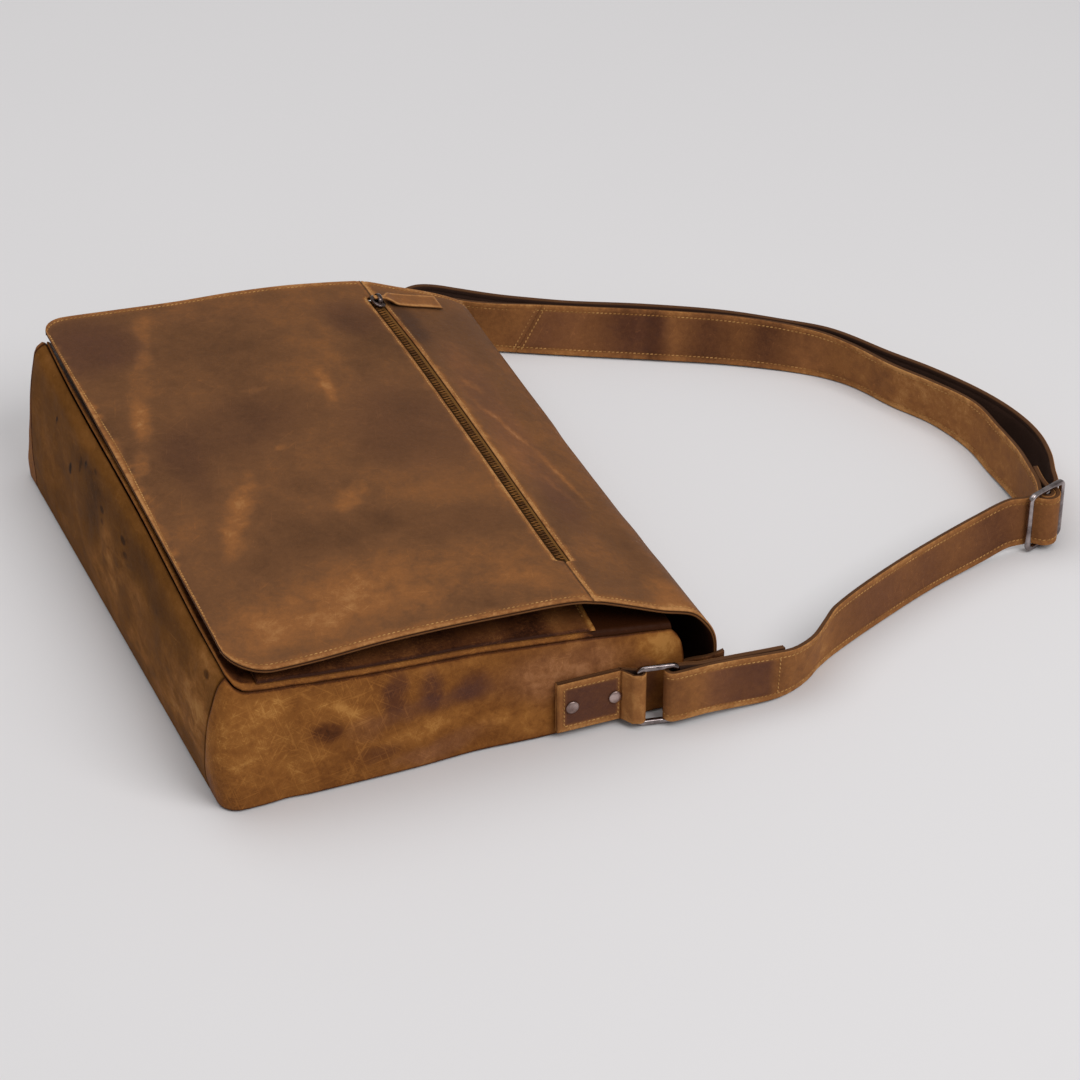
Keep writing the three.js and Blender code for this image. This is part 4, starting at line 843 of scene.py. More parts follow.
class Finish:
    """A material under making: its shader, and short ways to add and join nodes."""

    def __init__(self, name):
        """A new material with the usual shader, and its Object coordinates."""
        self.material = bpy.data.materials.new(name)
        self.material.use_nodes = True
        self.tree = self.material.node_tree
        self.shader = self.tree.nodes["Principled BSDF"]
        self.coords = self.add("ShaderNodeTexCoord").outputs["Object"]

    def put(self, socket, value):
        """Joins a socket to another node's, or sets it to a constant."""
        if isinstance(value, bpy.types.NodeSocket):
            self.tree.links.new(value, socket)
        else:
            socket.default_value = value

    def add(self, kind, inputs=None, **settings):
        """A node of a kind, with its settings and what its inputs take."""
        node = self.tree.nodes.new(kind)
        for label, value in settings.items():
            setattr(node, label, value)
        for label, value in (inputs or {}).items():
            self.put(node.inputs[label], value)
        return node

    def set(self, **inputs):
        """Joins or sets the shader's own inputs."""
        for label, value in inputs.items():
            self.put(self.shader.inputs[label.replace("_", " ")], value)

    def product(self, first, *others, clamp=False):
        """Product of values, held between 0 and 1 if clamped."""
        for other in others:
            node = self.add("ShaderNodeMath", {0: first, 1: other}, operation="MULTIPLY", use_clamp=clamp)
            first = node.outputs[0]
        return first

    def total(self, *parts, start=0.0):
        """Sum of values, each times its amount, from a starting value."""
        for value, amount in parts:
            node = self.add("ShaderNodeMath", {0: value, 1: amount, 2: start}, operation="MULTIPLY_ADD")
            start = node.outputs[0]
        return start

    def shifted(self, offset, scale=(1, 1, 1), turn=(0, 0, 0), vector=None):
        """Coordinates scaled, turned and shifted."""
        inputs = {"Vector": vector or self.coords, "Location": offset, "Scale": scale, "Rotation": turn}
        return self.add("ShaderNodeMapping", inputs).outputs[0]

    def noise(self, vector, scale, detail=4.0, rough=0.55, warp=0.0):
        """Cloudy noise, with so many cells to the metre."""
        inputs = {"Vector": vector, "Scale": scale, "Detail": detail, "Roughness": rough, "Distortion": warp}
        return self.add("ShaderNodeTexNoise", inputs).outputs[0]

    def cells(self, vector, scale, feature="F1"):
        """Distance from the middle, or the border, of scattered cells."""
        node = self.add("ShaderNodeTexVoronoi", {"Vector": vector, "Scale": scale}, feature=feature)
        return node.outputs["Distance"]

    def cracks(self, vector, scale, width):
        """Lines of a width along the borders of cells."""
        return self.ranged(self.cells(vector, scale, "DISTANCE_TO_EDGE"), 0.0, width, 1.0, 0.0)

    def ranged(self, value, low, high, to_low=0.0, to_high=1.0):
        """A range of a value spread smoothly over another range."""
        inputs = {0: value, 1: low, 2: high, 3: to_low, 4: to_high}
        return self.add("ShaderNodeMapRange", inputs, interpolation_type="SMOOTHSTEP").outputs[0]

    def value_of(self, label):
        """A value that the mesh carries on its points."""
        return self.add("ShaderNodeAttribute", attribute_name=label).outputs["Fac"]

    def ramp(self, value, places, tones):
        """Colour from tones at their places along a value."""
        node = self.add("ShaderNodeValToRGB", {0: value})
        elements = node.color_ramp.elements
        while len(elements) < len(places):
            elements.new(0.5)
        for element, place, tone in zip(elements, places, tones):
            element.position = place
            element.color = srgb(*tone)
        return node.outputs[0]

    def blend(self, share, *colours):
        """Mix of two colours, each from another node or of 0 to 255 values."""
        node = self.add("ShaderNodeMix", data_type="RGBA")
        self.put(node.inputs[0], share)
        for socket, colour in zip(node.inputs[6:8], colours):
            self.put(socket, colour if isinstance(colour, bpy.types.NodeSocket) else srgb(*colour))
        return node.outputs[2]

    def bump(self, height, strength, distance):
        """Normal of a surface raised by a height."""
        inputs = {"Height": height, "Strength": strength, "Distance": distance}
        return self.add("ShaderNodeBump", inputs).outputs[0]


def scratch_field(f, seed, facing, density):
    """Fine straight scratches: noise that is drawn out long and thin in several directions of the wall."""
    axis, stretch = SCRATCHES_ON[facing]
    field = 0.0
    first, second, third = SCRATCH_SHIFT
    for number, angle in enumerate(SCRATCH_TURNS):
        turn = [0.0, 0.0, 0.0]
        turn[axis] = math.radians(angle)
        turned = f.shifted((seed + first * number, seed * second, number * third), turn=turn)
        streaks = f.noise(f.shifted((0, 0, 0), stretch, vector=turned), *SCRATCH_NOISE)
        lines = f.ranged(streaks, *(limit - density for limit in SCRATCH_LINE))
        field = f.add("ShaderNodeMath", {0: lines, 1: field}, operation="MAXIMUM").outputs[0]
    return field


def grain_leather(name, tones, seed, base, broad, blotch, fleck, crease, scratch, rub, rub_reach=4.5,
                  specks=0.0, fine=1.0, ragged=0.6, facing="z", density=0.0, drawn=(1, 1, 1), gloss=0.06):
    """Oiled pull-up leather: one lightness, the sum of broad and small unevenness, wear and painted shade or
    sheen carried on the mesh, creases and scratches, picks the colour between deep brown and pale tan; fine
    cells and creases give the bump. Its edges are rubbed lighter, or darker where rub is negative."""
    f = Finish(name)
    place = f.shifted([seed * part for part in GRAIN_SHIFT], drawn)
    noise = {kind: f.noise(place, *sizes) for kind, sizes in GRAIN_NOISE.items()}
    bend = {0: place, 1: f.noise(place, *CREASE_BEND)}
    bent = f.add("ShaderNodeVectorMath", bend, operation="ADD").outputs[0]
    crease_patches = f.ranged(f.noise(place, *CREASE_PATCHES), *CREASE_RANGE)
    creases = f.product(f.cracks(bent, CREASE_CELLS, CREASE_WIDTH), crease_patches)
    fine_creases = f.product(f.cracks(bent, FINE_CELLS, FINE_WIDTH), f.ranged(noise["fleck"], *FINE_RANGE))
    scratches = f.product(
        scratch_field(f, seed, facing, density),
        f.ranged(noise["blotch"], *SCRATCH_RANGE),
        f.value_of("scuff"),
    )
    patchy = f.total(*((noise[kind], share) for kind, share in PATCHY_SHARES.items()))
    # The mesh's tone holds wear and also painted shade under the flap, inside the rings and a painted sheen
    # on the flap.
    wear_and_painted_light = f.product(f.value_of("tone"), f.ranged(patchy, *PATCHY, 1 - ragged, 1 + ragged))
    rubbed = f.product(
        f.ranged(f.value_of("edge"), 0.0, rub_reach, rub, 0.0),
        f.ranged(noise["small"], *RUB_RANGE, *(RUB_LIGHTER if rub > 0 else RUB_DARKER)),
    )
    amounts = {"broad": broad, "blotch": blotch, "fleck": fleck}
    amounts.update({kind: share * fine for kind, share in FINE_SHARES.items()})
    parts = [(noise[kind], amount) for kind, amount in amounts.items()]
    parts += [(wear_and_painted_light, 1), (rubbed, 1), (scratches, scratch)]
    parts += [(creases, crease), (fine_creases, crease * FINE_CREASE)]
    if specks:
        spots = f.ranged(f.cells(place, SPECK_CELLS), *SPECK_EDGE, 1.0, 0.0)
        spot_patches = f.ranged(f.noise(place, *SPECK_PATCHES), *SPECK_RANGE)
        parts.append((f.product(spots, spot_patches), -specks))
    tone = f.total(*parts, start=base - sum(amounts.values()) / 2)
    purple = f.product(f.value_of("plum"), f.ranged(patchy, *PATCHY, *PLUM_RANGE), clamp=True)
    tan, plum = f.ramp(tone, TONE_PLACES, tones), f.ramp(tone, PLUM_PLACES, PLUM_TONES)
    raised = (f.cells(place, PEBBLE_CELLS), noise["small"], creases, fine_creases, scratches)
    f.set(
        Base_Color=f.blend(f.product(purple, PLUM_COVER), tan, plum),
        Roughness=f.ranged(tone, *GRAIN_ROUGHNESS),
        Normal=f.bump(f.total(*zip(raised, BUMP_SHARES)), *GRAIN_BUMP),
        IOR=LEATHER_IOR,
        Specular_IOR_Level=gloss,
    )
    return f.material


def fibrous_leather(name, kind, low, high, seed):
    """Flesh side or cut edge of the leather: patches and fibres, two sizes of unevenness, together pick
    the colour, and the fibres give the bump."""
    f = Finish(name)
    place = f.shifted([seed * part for part in kind.shift])
    fibres = f.noise(place, *kind.fibres)
    share = f.total((fibres, 1 - kind.share), (f.noise(place, *kind.patches), kind.share))
    f.set(
        Base_Color=f.blend(share, low, high), Roughness=kind.roughness, Normal=f.bump(fibres, *kind.bump),
        Specular_IOR_Level=kind.gloss,
    )
    return f.material


def thread_finish(name, low, high):
    """Waxed thread: a fine twist and a little unevenness of colour."""
    f = Finish(name)
    colour = f.blend(f.ranged(f.noise(f.coords, *THREAD.patches), *THREAD.spread), low, high)
    twist = f.bump(f.noise(f.coords, *THREAD.twist), *THREAD.bump)
    f.set(Base_Color=colour, Roughness=THREAD.roughness, Normal=twist, Specular_IOR_Level=THREAD.gloss)
    return f.material


def woven_tape(name, low, high, gold):
    """Zip tape: crossing ribs of a close weave, golden where its bare selvedge shows."""
    f = Finish(name)
    ribs = {"Vector": f.coords, "Scale": TAPE.ribs, "Distortion": TAPE.wander}
    weave = f.product(*(f.add("ShaderNodeTexWave", ribs, bands_direction=axis).outputs[0] for axis in "YX"))
    colour = f.blend(f.value_of("tone"), f.blend(weave, low, high), f.blend(weave, high, gold))
    bump = f.bump(weave, *TAPE.bump)
    f.set(Base_Color=colour, Roughness=TAPE.roughness, Normal=bump, Specular_IOR_Level=TAPE.gloss)
    return f.material


def worn_metal(name, low, high, roughness):
    """Plated gunmetal: duller patches and fine rubbed lines."""
    f = Finish(name)
    patches = f.noise(f.coords, *WORN_METAL.patches)
    rub = f.noise(f.shifted((0, 0, 0), WORN_METAL.stretch), *WORN_METAL.lines)
    f.set(
        Base_Color=f.blend(f.ranged(patches, *WORN_METAL.spread), low, high),
        Metallic=1.0,
        Roughness=f.ranged(patches, *WORN_METAL.dull, roughness, roughness + WORN_METAL.duller),
        Normal=f.bump(rub, *WORN_METAL.bump),
    )
    return f.material


flap_grain = grain_leather(
    "flap_grain", FLAP_TONES, seed=1.0, base=0.49, broad=0.46, blotch=0.25, fleck=0.17, crease=0.08,
    scratch=0.08, rub=0.16, fine=0.6, ragged=0.25,
)
body_grain = grain_leather(
    "body_grain", BODY_TONES, seed=2.0, base=0.5, broad=0.4, blotch=0.4, fleck=0.36, crease=0.2,
    scratch=0.19, rub=-0.4, rub_reach=2.0, facing="y", density=0.07,
)
base_grain = grain_leather(
    "base_grain", BASE_TONES, seed=3.0, base=0.5, broad=0.36, blotch=0.4, fleck=0.26, crease=0.08,
    scratch=0.12, rub=-0.26, rub_reach=1.8, specks=0.3, fine=0.7, ragged=0.75, facing="x",
    drawn=(1, 0.5, 1), gloss=0.015,
)
strap_grain = grain_leather(
    "strap_grain", STRAP_TONES, seed=4.0, base=0.53, broad=0.4, blotch=0.34, fleck=0.24, crease=0.1,
    scratch=0.14, rub=0.16, fine=0.8, ragged=0.4, facing="y",
)
dark_flesh = fibrous_leather("dark_flesh", FLESH_SIDE, (40, 24, 16), (80, 48, 32), 1.0)
strap_flesh = fibrous_leather("strap_flesh", FLESH_SIDE, (46, 31, 25), (88, 63, 52), 2.0)
cut_edge = fibrous_leather("cut_edge", CUT_EDGE, (70, 39, 17), (134, 85, 43), 1.0)
strap_edge = fibrous_leather("strap_edge", CUT_EDGE, (60, 37, 22), (104, 68, 40), 3.0)
rim_edge = fibrous_leather("rim_edge", CUT_EDGE, (84, 52, 27), (136, 89, 48), 2.0)
thread = thread_finish("stitch_thread", (148, 102, 55), (192, 144, 86))
zip_tape = woven_tape("zip_tape", (46, 29, 11), (94, 61, 25), (160, 114, 56))
zip_coil = thread_finish("zip_coil", (84, 51, 21), (128, 84, 38))
gunmetal = worn_metal("gunmetal", (112, 101, 100), (176, 165, 164), 0.13)
dark_metal = worn_metal("dark_metal", (74, 63, 60), (128, 112, 108), 0.2)
rivet_metal = worn_metal("rivet_metal", (136, 114, 108), (194, 172, 166), 0.28)

FLAP_FINISH = [flap_grain, dark_flesh, rim_edge]
BODY_FINISH = [body_grain, dark_flesh, cut_edge]
BASE_FINISH = [base_grain, dark_flesh, cut_edge]
STRAP_FINISH = [strap_grain, strap_flesh, strap_edge]


# Body


def outline(distance):
    """Body outline seen from above: straight side, quarter-round corner and base, the same on each half."""
    run = np.minimum(distance, OUTLINE_RUN - distance)
    half = np.where(distance > OUTLINE_RUN / 2, 1.0, -1.0)
    turn = np.clip((run - SIDE_RUN) / CORNER_RADIUS, 0, math.pi / 2)
    along_base = np.maximum(run - SIDE_RUN - CORNER_RUN, 0)
    x = MOUTH_X - np.minimum(run, SIDE_RUN) - CORNER_RADIUS * np.sin(turn)
    y = HALF_WIDTH - CORNER_RADIUS * (1 - np.cos(turn)) - along_base
    return x, half * y


def soft_place(x, y, up):
    """Where a point of the plain outline lies on the soft bag: the base wall swells, the gussets lean in
    and have soft dents, more the nearer the point is to that wall."""
    base_share = np.maximum((MOUTH_X - x) / (MOUTH_X - BASE_X), 0) ** BASE_POWER
    side_share = np.abs(y / HALF_WIDTH) ** GUSSET_POWER
    near_out, far_out = (follow(BASE_SWELL, "up", end, up) for end in ("near", "far"))
    base_out = near_out + (far_out - near_out) * (1 + y / HALF_WIDTH) / 2
    gusset_in = GUSSET_LEAN * smooth_step(GUSSET_LEAN_START, 1, up)
    for middle, reach, middle_up, reach_up, depth in GUSSET_DENTS:
        away = ((x - middle) / reach) ** 2 + ((up - middle_up) / reach_up) ** 2
        gusset_in = gusset_in + depth * np.exp(-away)
    return x - base_out * base_share, y - np.sign(y) * gusset_in * side_share


def wall_top(x, y):
    """Height of the walls' sewn top edge along the bag, and how much higher it is across its base."""
    at_base = 1 - smooth_step(BASE_RISE_REACH.full, BASE_RISE_REACH.none, x)
    return follow(WALL_TOP, "x", "z", x) + at_base * follow(BASE_RISE, "y", "rise", y)


def wall_band(distance, up):
    """Side and base walls as one band round the bag, from below the back panel's edge up to the sewn top
    edge; the lowest part is drawn down over that edge."""
    x, y = soft_place(*outline(distance), up)
    foot = LEATHER + GAP
    return stack(x, y, foot + up * (wall_top(x, y) - foot) - WALL_DROP * (1 - up) ** DROP_POWER)


def corner_seam(up):
    """Distance round the outline at which a gusset meets the base panel."""
    return SIDE_RUN + follow(CORNER_SEAM, "up", "reach", up)


def wall_grid(size):
    """Shares along a wall of a length and height, and up it, on a grid with close lines at its edges."""
    return grid(*(spread(part, GRID, CUT_LINES, CUT_LINES) / part for part in size))


def wall_relief(sizes, seed):
    """Soft unevenness of a filled wall, fading out at its seams."""

    def relief(surface, sides):
        """Waves along the wall and up it, times a smooth rise from the nearest seam."""
        x, y, z = np.moveaxis(surface, -1, 0)
        return smooth_step(0, WALL_FADE, nearest(sides)) * waves(x + y, z, sizes, seed)

    return relief


def build_gusset(place, side):
    """Gusset from its mouth edge to the seam at the base corner."""
    share, up = wall_grid(GUSSET_SIZE)
    start = follow(MOUTH_CUT, "up", "back", up)
    end = corner_seam(up) - SEAM_GAP / 2
    distance = start + share * (end - start)
    distance = OUTLINE_RUN - distance if side > 0 else distance
    leather_piece(
        f"gusset_{place}_leather", wall_band, distance, up, LEATHER, -1, BODY_FINISH,
        [f"gusset_{place}"], wall_relief(GUSSET_WAVES, SEEDS[f"gusset_{place}"]),
        lambda surface, sides: leather_marks(GUSSET_MARKS, surface[..., 0], surface[..., 2]),
        shoulder=WALL_SHOULDER,
        scuffs=lambda surface: 1 - GUSSET_SCUFFS.less * smooth_step(*GUSSET_SCUFFS.reach, surface[..., 0]),
    )


def build_base_panel():
    """Base wall between the two corner seams."""
    share, up = wall_grid(BASE_SIZE)
    start = corner_seam(up) + SEAM_GAP / 2
    distance = start + share * (OUTLINE_RUN - 2 * start)
    leather_piece(
        "base_panel_leather", wall_band, distance, up, LEATHER, -1, BASE_FINISH,
        ["base_panel"], wall_relief(BASE_WAVES, SEEDS["base"]),
        lambda surface, sides: leather_marks(BASE_MARKS, surface[..., 1], surface[..., 2]),
        shoulder=WALL_SHOULDER,
    )


def half_width_at(x):
    """Half width of the plain outline along the bag, less at its rounded corners."""
    short = np.clip(BASE_X + CORNER_RADIUS - x, 0, CORNER_RADIUS)
    return HALF_WIDTH - CORNER_RADIUS + np.sqrt(CORNER_RADIUS**2 - short**2)


def build_back_panel():
    """Back panel, flat on the floor: lines across the plain outline, a little inside it."""
    start = BASE_X + BACK_INSET
    side_lines = CUT_LINES / HALF_WIDTH
    x, share = grid(
        start + spread(MOUTH_X - start, COARSE_GRID, CORNER_LINES, CUT_LINES),
        spread(2, BACK_GRID_SHARE, side_lines, side_lines) - 1,
    )
    y = share * (half_width_at(x - BACK_INSET) - BACK_INSET)

    def on_floor(u, w):
        """Foot of the soft bag at a place of the plain outline, at no height."""
        return stack(*soft_place(u, w, np.zeros(u.shape)), 0.0)

    leather_piece(
        "back_panel_leather", on_floor, x, y, LEATHER, -1, BODY_FINISH, ["back_panel"]
    )


def edge_distance(x, y):
    """Distance of a point of the plain outline from its sewn edge, negative outside it."""
    in_x, in_y = x - BASE_X, HALF_WIDTH - np.abs(y)
    corner = CORNER_RADIUS - np.hypot(CORNER_RADIUS - in_x, CORNER_RADIUS - in_y)
    return np.where((in_x < CORNER_RADIUS) & (in_y < CORNER_RADIUS), corner, np.minimum(in_x, in_y))


def front_surface(x, y):
    """Front panel: a quarter-round turned edge over the walls, and a crown towards the middle."""
    soft_x, soft_y = soft_place(x, y, np.ones(x.shape))
    inset = edge_distance(x, y)
    short = LIP_RADIUS - np.minimum(np.abs(inset), LIP_RADIUS)
    lip = np.sign(inset) * np.sqrt(LIP_RADIUS**2 - short**2)
    across = 1 - np.minimum(np.abs(y) / CROWN_HALF_WIDTH, 1) ** CROWN_POWER
    crown = np.maximum(follow(FRONT_CROWN, "x", "rise", soft_x), 0) * across
    return stack(soft_x, soft_y, wall_top(soft_x, soft_y) + LIP_GAP + lip + crown)


def front_grid(x_lines, insets):
    """Places on the front panel: on each line across it the turned edge's insets, then even shares."""
    half = half_width_at(x_lines)[:, None]
    inner = np.linspace(1, 0, FRONT_COLUMNS + 1)[1:]
    side = np.concatenate([half - insets, (half - insets[-1]) * inner], axis=1)
    y = np.concatenate([-side, side[:, -2::-1]], axis=1)
    return np.broadcast_to(x_lines[:, None], y.shape), y


def in_flap_shade(surface, sides):
    """Painted shade of the flap: darker and more purple leather where the flap covers the front panel,
    inside the turned edge, and all of it by the mouth.
    """
    by_mouth = smooth_step(*FLAP_SHADE.by_mouth, surface[..., 0])
    covered = np.maximum(smooth_step(*FLAP_SHADE.from_edge, nearest(sides)), by_mouth)
    tone = FLAP_SHADE.covered * covered + FLAP_SHADE.mouth * by_mouth
    return tone, FLAP_SHADE.plum * covered * (1 - by_mouth)


def build_front_panel():
    """Front panel with its turned edge, on lines that are close together over that edge."""
    x_lines = BASE_X + spread(FRONT_EDGE_X - BASE_X, COARSE_GRID, LIP_LINES, CUT_LINES)
    x, y = front_grid(x_lines, LIP_LINES)
    leather_piece(
        "front_panel_leather", front_surface, x, y, LEATHER, 1, BODY_FINISH, ["front_panel"],
        marks=in_flap_shade, shoulder=LIP_SHOULDER,
    )


def build_front_pocket():
    """Pocket laid on the front panel, open towards the mouth, with a stitched hem."""
    length = POCKET_EDGE_X - POCKET_START_X
    x_lines = POCKET_START_X + spread(length, POCKET_GRID, CUT_LINES, EDGE_LINES)
    x, y = front_grid(x_lines, POCKET_LIP_LINES)

    def relief(surface, sides):
        """Long folds that fade out at the sides, less the dip along the hem's stitches."""
        x, y = surface[..., 0], surface[..., 1] * POCKET_FOLDS.stretch
        folds = mottle(x, y, POCKET_FOLDS.size, SEEDS["pocket_folds"])
        fade = smooth_step(0, POCKET_FOLDS.fade, nearest(sides))
        return POCKET_FOLDS.depth * folds * fade - stitch_groove(sides[1], *STITCH_DIP)

    def marks(surface, sides):
        """Long creases on leather darkened all over by painted shade of the flap, and bands along the hem
        that are lighter and purple.
        """
        x, y = surface[..., 0], surface[..., 1] * POCKET_WEAR_AND_SHADE.stretch
        creases = mottle(x, y, POCKET_WEAR_AND_SHADE.size, SEEDS["pocket_creases"])
        hem = sum(lighter * smooth_step(low, high, sides[1]) for lighter, low, high in POCKET_HEM)
        plum = POCKET_WEAR_AND_SHADE.plum * (1 - smooth_step(*POCKET_WEAR_AND_SHADE.plum_reach, sides[1]))
        return POCKET_WEAR_AND_SHADE.plain + POCKET_WEAR_AND_SHADE.creases * creases + hem, plum

    outer, normal = leather_piece(
        "front_pocket_leather", front_surface, x, y, POCKET_LEATHER, 1, BODY_FINISH,
        ["front_pocket"], relief, marks, raised=GAP + POCKET_LEATHER,
    )
    hem_stitches("front_pocket_stitches", outer, normal, POCKET_HEMS)


# Flap


def flap_surface(step, y):
    """Flap: smooth profiles at its near edge, middle and far edge, with a parabola across them."""
    across = (y - FLAP_MIDDLE_Y) / FLAP_HALF
    shares = {
        "near": across * (across - 1) / 2, "middle": 1 - across * across, "far": across * (across + 1) / 2,
    }
    x, z = (
        sum(share * follow(FLAP, "step", f"{part}_{axis}", step) for part, share in shares.items())
        for axis in "xz"
    )
    return stack(x, y, z)


def flap_normal(step, y):
    """Unit normal of the flap's outer face."""
    return surface_normal(flap_surface, step, y, -1)


def zip_open(y):
    """How open the zip seam is: 1 along the zip, 0 where the flap's two parts are sewn together."""
    near_end = smooth_step(ZIP_NEAR_Y - ZIP_END_TAPER, ZIP_NEAR_Y, y)
    return near_end * (1 - smooth_step(ZIP_FAR_Y, ZIP_FAR_Y + ZIP_END_TAPER, y))


def seam_row(y):
    """Step of the flap's profile on which the zip seam lies."""
    return SEAM_ROW - follow(SEAM_DRIFT, "y", "mouthward", y) / SEAM_ROW_STEP


def seam_steps(y):
    """Half width of the zip's slot, or of the seam beside it, in steps of the flap's profile."""
    return (SEAM_GAP / 2 + (ZIP_SLOT_HALF - SEAM_GAP / 2) * zip_open(y)) / SEAM_ROW_STEP


def flap_grid(first, last):
    """Shares of the flap's profile between two steps, evenly along it, and places across the flap, with
    close lines at its edges and at the ends of the zip."""
    fine = np.linspace(first, last, PROFILE_POINTS)
    run = run_along(flap_surface(fine, np.full(fine.shape, FLAP_MIDDLE_Y)))
    steps = np.interp(spread(run[-1], GRID, EDGE_LINES, EDGE_LINES), run, fine)
    lines = FLAP_NEAR_Y + spread(FLAP_FAR_Y - FLAP_NEAR_Y, GRID, EDGE_LINES, EDGE_LINES)
    taper = np.linspace(-1, 1, ZIP_END_LINES) * ZIP_END_TAPER
    ends = [ZIP_NEAR_Y - ZIP_END_SHIFT + taper, ZIP_FAR_Y + ZIP_END_SHIFT + taper]
    return grid((steps - first) / (last - first), np.unique(np.round(np.concatenate([lines, *ends]), 3)))


def flap_relief(seam_side, stitched_sides, seed):
    """Slow waves of the flap, a dip along each row of stitches, and a rounded lip beside the zip."""

    def relief(surface, sides):
        """Waves that fade out at the sides, less a bell over each row of stitches and one at the lip."""
        x, y = surface[..., 0], surface[..., 1]
        rise = smooth_step(0, FLAP_FADE, nearest(sides)) * waves(x, y, FLAP_WAVES, seed)
        dips = sum(stitch_groove(sides[side], *STITCH_DIP) for side in stitched_sides)
        lip = ZIP_LIP.depth * zip_open(y) * np.exp(-((sides[seam_side] / ZIP_LIP.width) ** 2))
        return rise - dips - stitch_groove(sides[seam_side], *ZIP_STITCH_DIP) - lip

    return relief


def flap_marks_and_border(marks, surface, sides):
    """Marks on the flap from a table, mostly wear with one painted sheen on the panel, and its lighter
    border between the stitches and the edge.
    """
    tone, plum = leather_marks(marks, surface[..., 0], surface[..., 1])
    border_share = smooth_step(*FLAP_BORDER.reach, nearest(sides[2:]))
    return tone + FLAP_BORDER.lighter * border_share, plum * (1 - border_share)


def yoke_wear(surface, sides):
    """Wear of the yoke: its marks, and a lighter lip with a ragged border beside the zip."""
    tone, plum = flap_marks_and_border(YOKE_MARKS, surface, sides)
    ragged = 1 + waves(surface[..., 0], surface[..., 1], YOKE_LIP.ragged, SEEDS["yoke_lip"])
    lip = smooth_step(*YOKE_LIP.reach, sides[1] * ragged)
    return tone + YOKE_LIP.lighter * lip, plum * (1 - lip)


def panel_marks_and_edges(surface, sides):
    """Marks of the flap's panel: its marks of wear and a painted sheen, a lighter free edge and lip beside
    the zip with ragged borders, and a dark line where it is sewn to the yoke."""
    tone, plum = flap_marks_and_border(FLAP_MARKS, surface, sides)
    ragged = 1 + waves(surface[..., 0], surface[..., 1], PANEL_EDGE.ragged, SEEDS["panel_edge"])
    by_zip = zip_open(surface[..., 1])
    for change, share, distance in (
        (PANEL_EDGE, 1, sides[1] * ragged),
        (PANEL_ZIP_LIP, by_zip, sides[0] * ragged),
        (PANEL_SEWN, 1 - by_zip, sides[0]),
    ):
        tone = tone + change.lighter * share * smooth_step(*change.reach, distance)
    return tone, plum * (1 - smooth_step(*PANEL_EDGE.plum_reach, sides[1]))


def build_flap_yoke():
    """Flap from its hinge on the back panel, round the fold, up to the zip seam."""
    share, y = flap_grid(0, SEAM_ROW)
    outer, normal = leather_piece(
        "flap_yoke_leather", flap_surface, share * (seam_row(y) - seam_steps(y)), y, FLAP_LEATHER, -1,
        FLAP_FINISH, ["flap_yoke"], flap_relief(1, (2, 3), SEEDS["yoke"]), yoke_wear,
        rim=TWO_PLY_RIM,
    )
    hem_stitches("flap_yoke_stitches", outer, normal, YOKE_HEMS)


def corner_cut(radius, from_edge):
    """How much a rounded corner takes off a line across the flap."""
    return round_shoulder(np.clip(from_edge, 0, radius), radius)


def build_flap_panel():
    """Flap from the zip seam to its free edge, with rounded corners."""
    share, y = flap_grid(SEAM_ROW, FLAP_END)
    start = seam_row(y) + seam_steps(y)
    step = start + share * (FLAP_END - start)
    from_edge = flap_surface(step, y)[..., 0] - FLAP_EDGE_X
    low = FLAP_NEAR_Y + corner_cut(FLAP_NEAR_CORNER, from_edge)
    high = FLAP_FAR_Y - corner_cut(FLAP_FAR_CORNER, from_edge)
    y_cut = low + (y - FLAP_NEAR_Y) / (FLAP_FAR_Y - FLAP_NEAR_Y) * (high - low)
    outer, normal = leather_piece(
        "flap_panel_leather", flap_surface, step, y_cut, FLAP_LEATHER, -1, FLAP_FINISH,
        ["flap_panel"], flap_relief(0, (1, 2, 3), SEEDS["panel"]), panel_marks_and_edges, rim=TWO_PLY_RIM,
    )
    hem_stitches("flap_panel_stitches", outer, normal, PANEL_HEMS)


def zip_surface(offset, y):
    """Zip tape: the flap's surface at an offset from the seam, sunk below the leather."""
    step = seam_row(y) + offset / SEAM_ROW_STEP
    return flap_surface(step, y) - ZIP_SINK * flap_normal(step, y)


def build_zip_tape():
    """Woven tape between the flap's two parts, with a golden strip beside the teeth."""
    half_tape = ZIP_SLOT_HALF - GAP
    offset, y = grid(
        np.linspace(-half_tape, half_tape, ZIP_TAPE_GRID.across),
        np.arange(ZIP_NEAR_Y + GAP, ZIP_FAR_Y - GAP, ZIP_TAPE_GRID.along),
    )
    gold = smooth_step(*GOLD_STRIP.start, offset) * smooth_step(*GOLD_STRIP.end, offset)
    leather_piece(
        "flap_zip_tape", zip_surface, offset, y, ZIP_TAPE, -1, [zip_tape] * 3, ["flap_zip"],
        marks=lambda surface, sides: (gold, np.zeros(gold.shape)), shoulder=TAPE_SHOULDER,
    )


def build_zip_teeth():
    """Two rows of teeth that meet on the tape: every tooth is a short thread across it, from alternate
    sides, a hexagon that swells towards its tip."""
    count = int((ZIP_FAR_Y - ZIP_NEAR_Y - 2 * TOOTH.clear) / TOOTH_PITCH)
    middle_y = (ZIP_NEAR_Y + TOOTH.clear + TOOTH_PITCH * np.arange(count))[:, None, None]
    side = np.where(np.arange(count) % 2, 1.0, -1.0)[:, None, None]
    share = np.linspace(-1, 1, len(TOOTH_WIDTHS))[:, None]
    middle, half = (TOOTH.reach - TOOTH.over) / 2, (TOOTH.reach + TOOTH.over) / 2
    radius = TOOTH.radius * TOOTH_WIDTHS[:, None]
    angle = full_turn(TUBE_SIDES)
    offset, y = np.broadcast_arrays(
        TOOTH.middle + side * (middle + half * share), middle_y + side * radius * np.cos(angle)
    )
    rise = TOOTH.rise + radius * np.sin(angle)
    normal = flap_normal(seam_row(y) + offset / SEAM_ROW_STEP, y)
    closed_tubes("flap_zip_teeth", zip_surface(offset, y) + normal * rise[..., None], zip_coil)


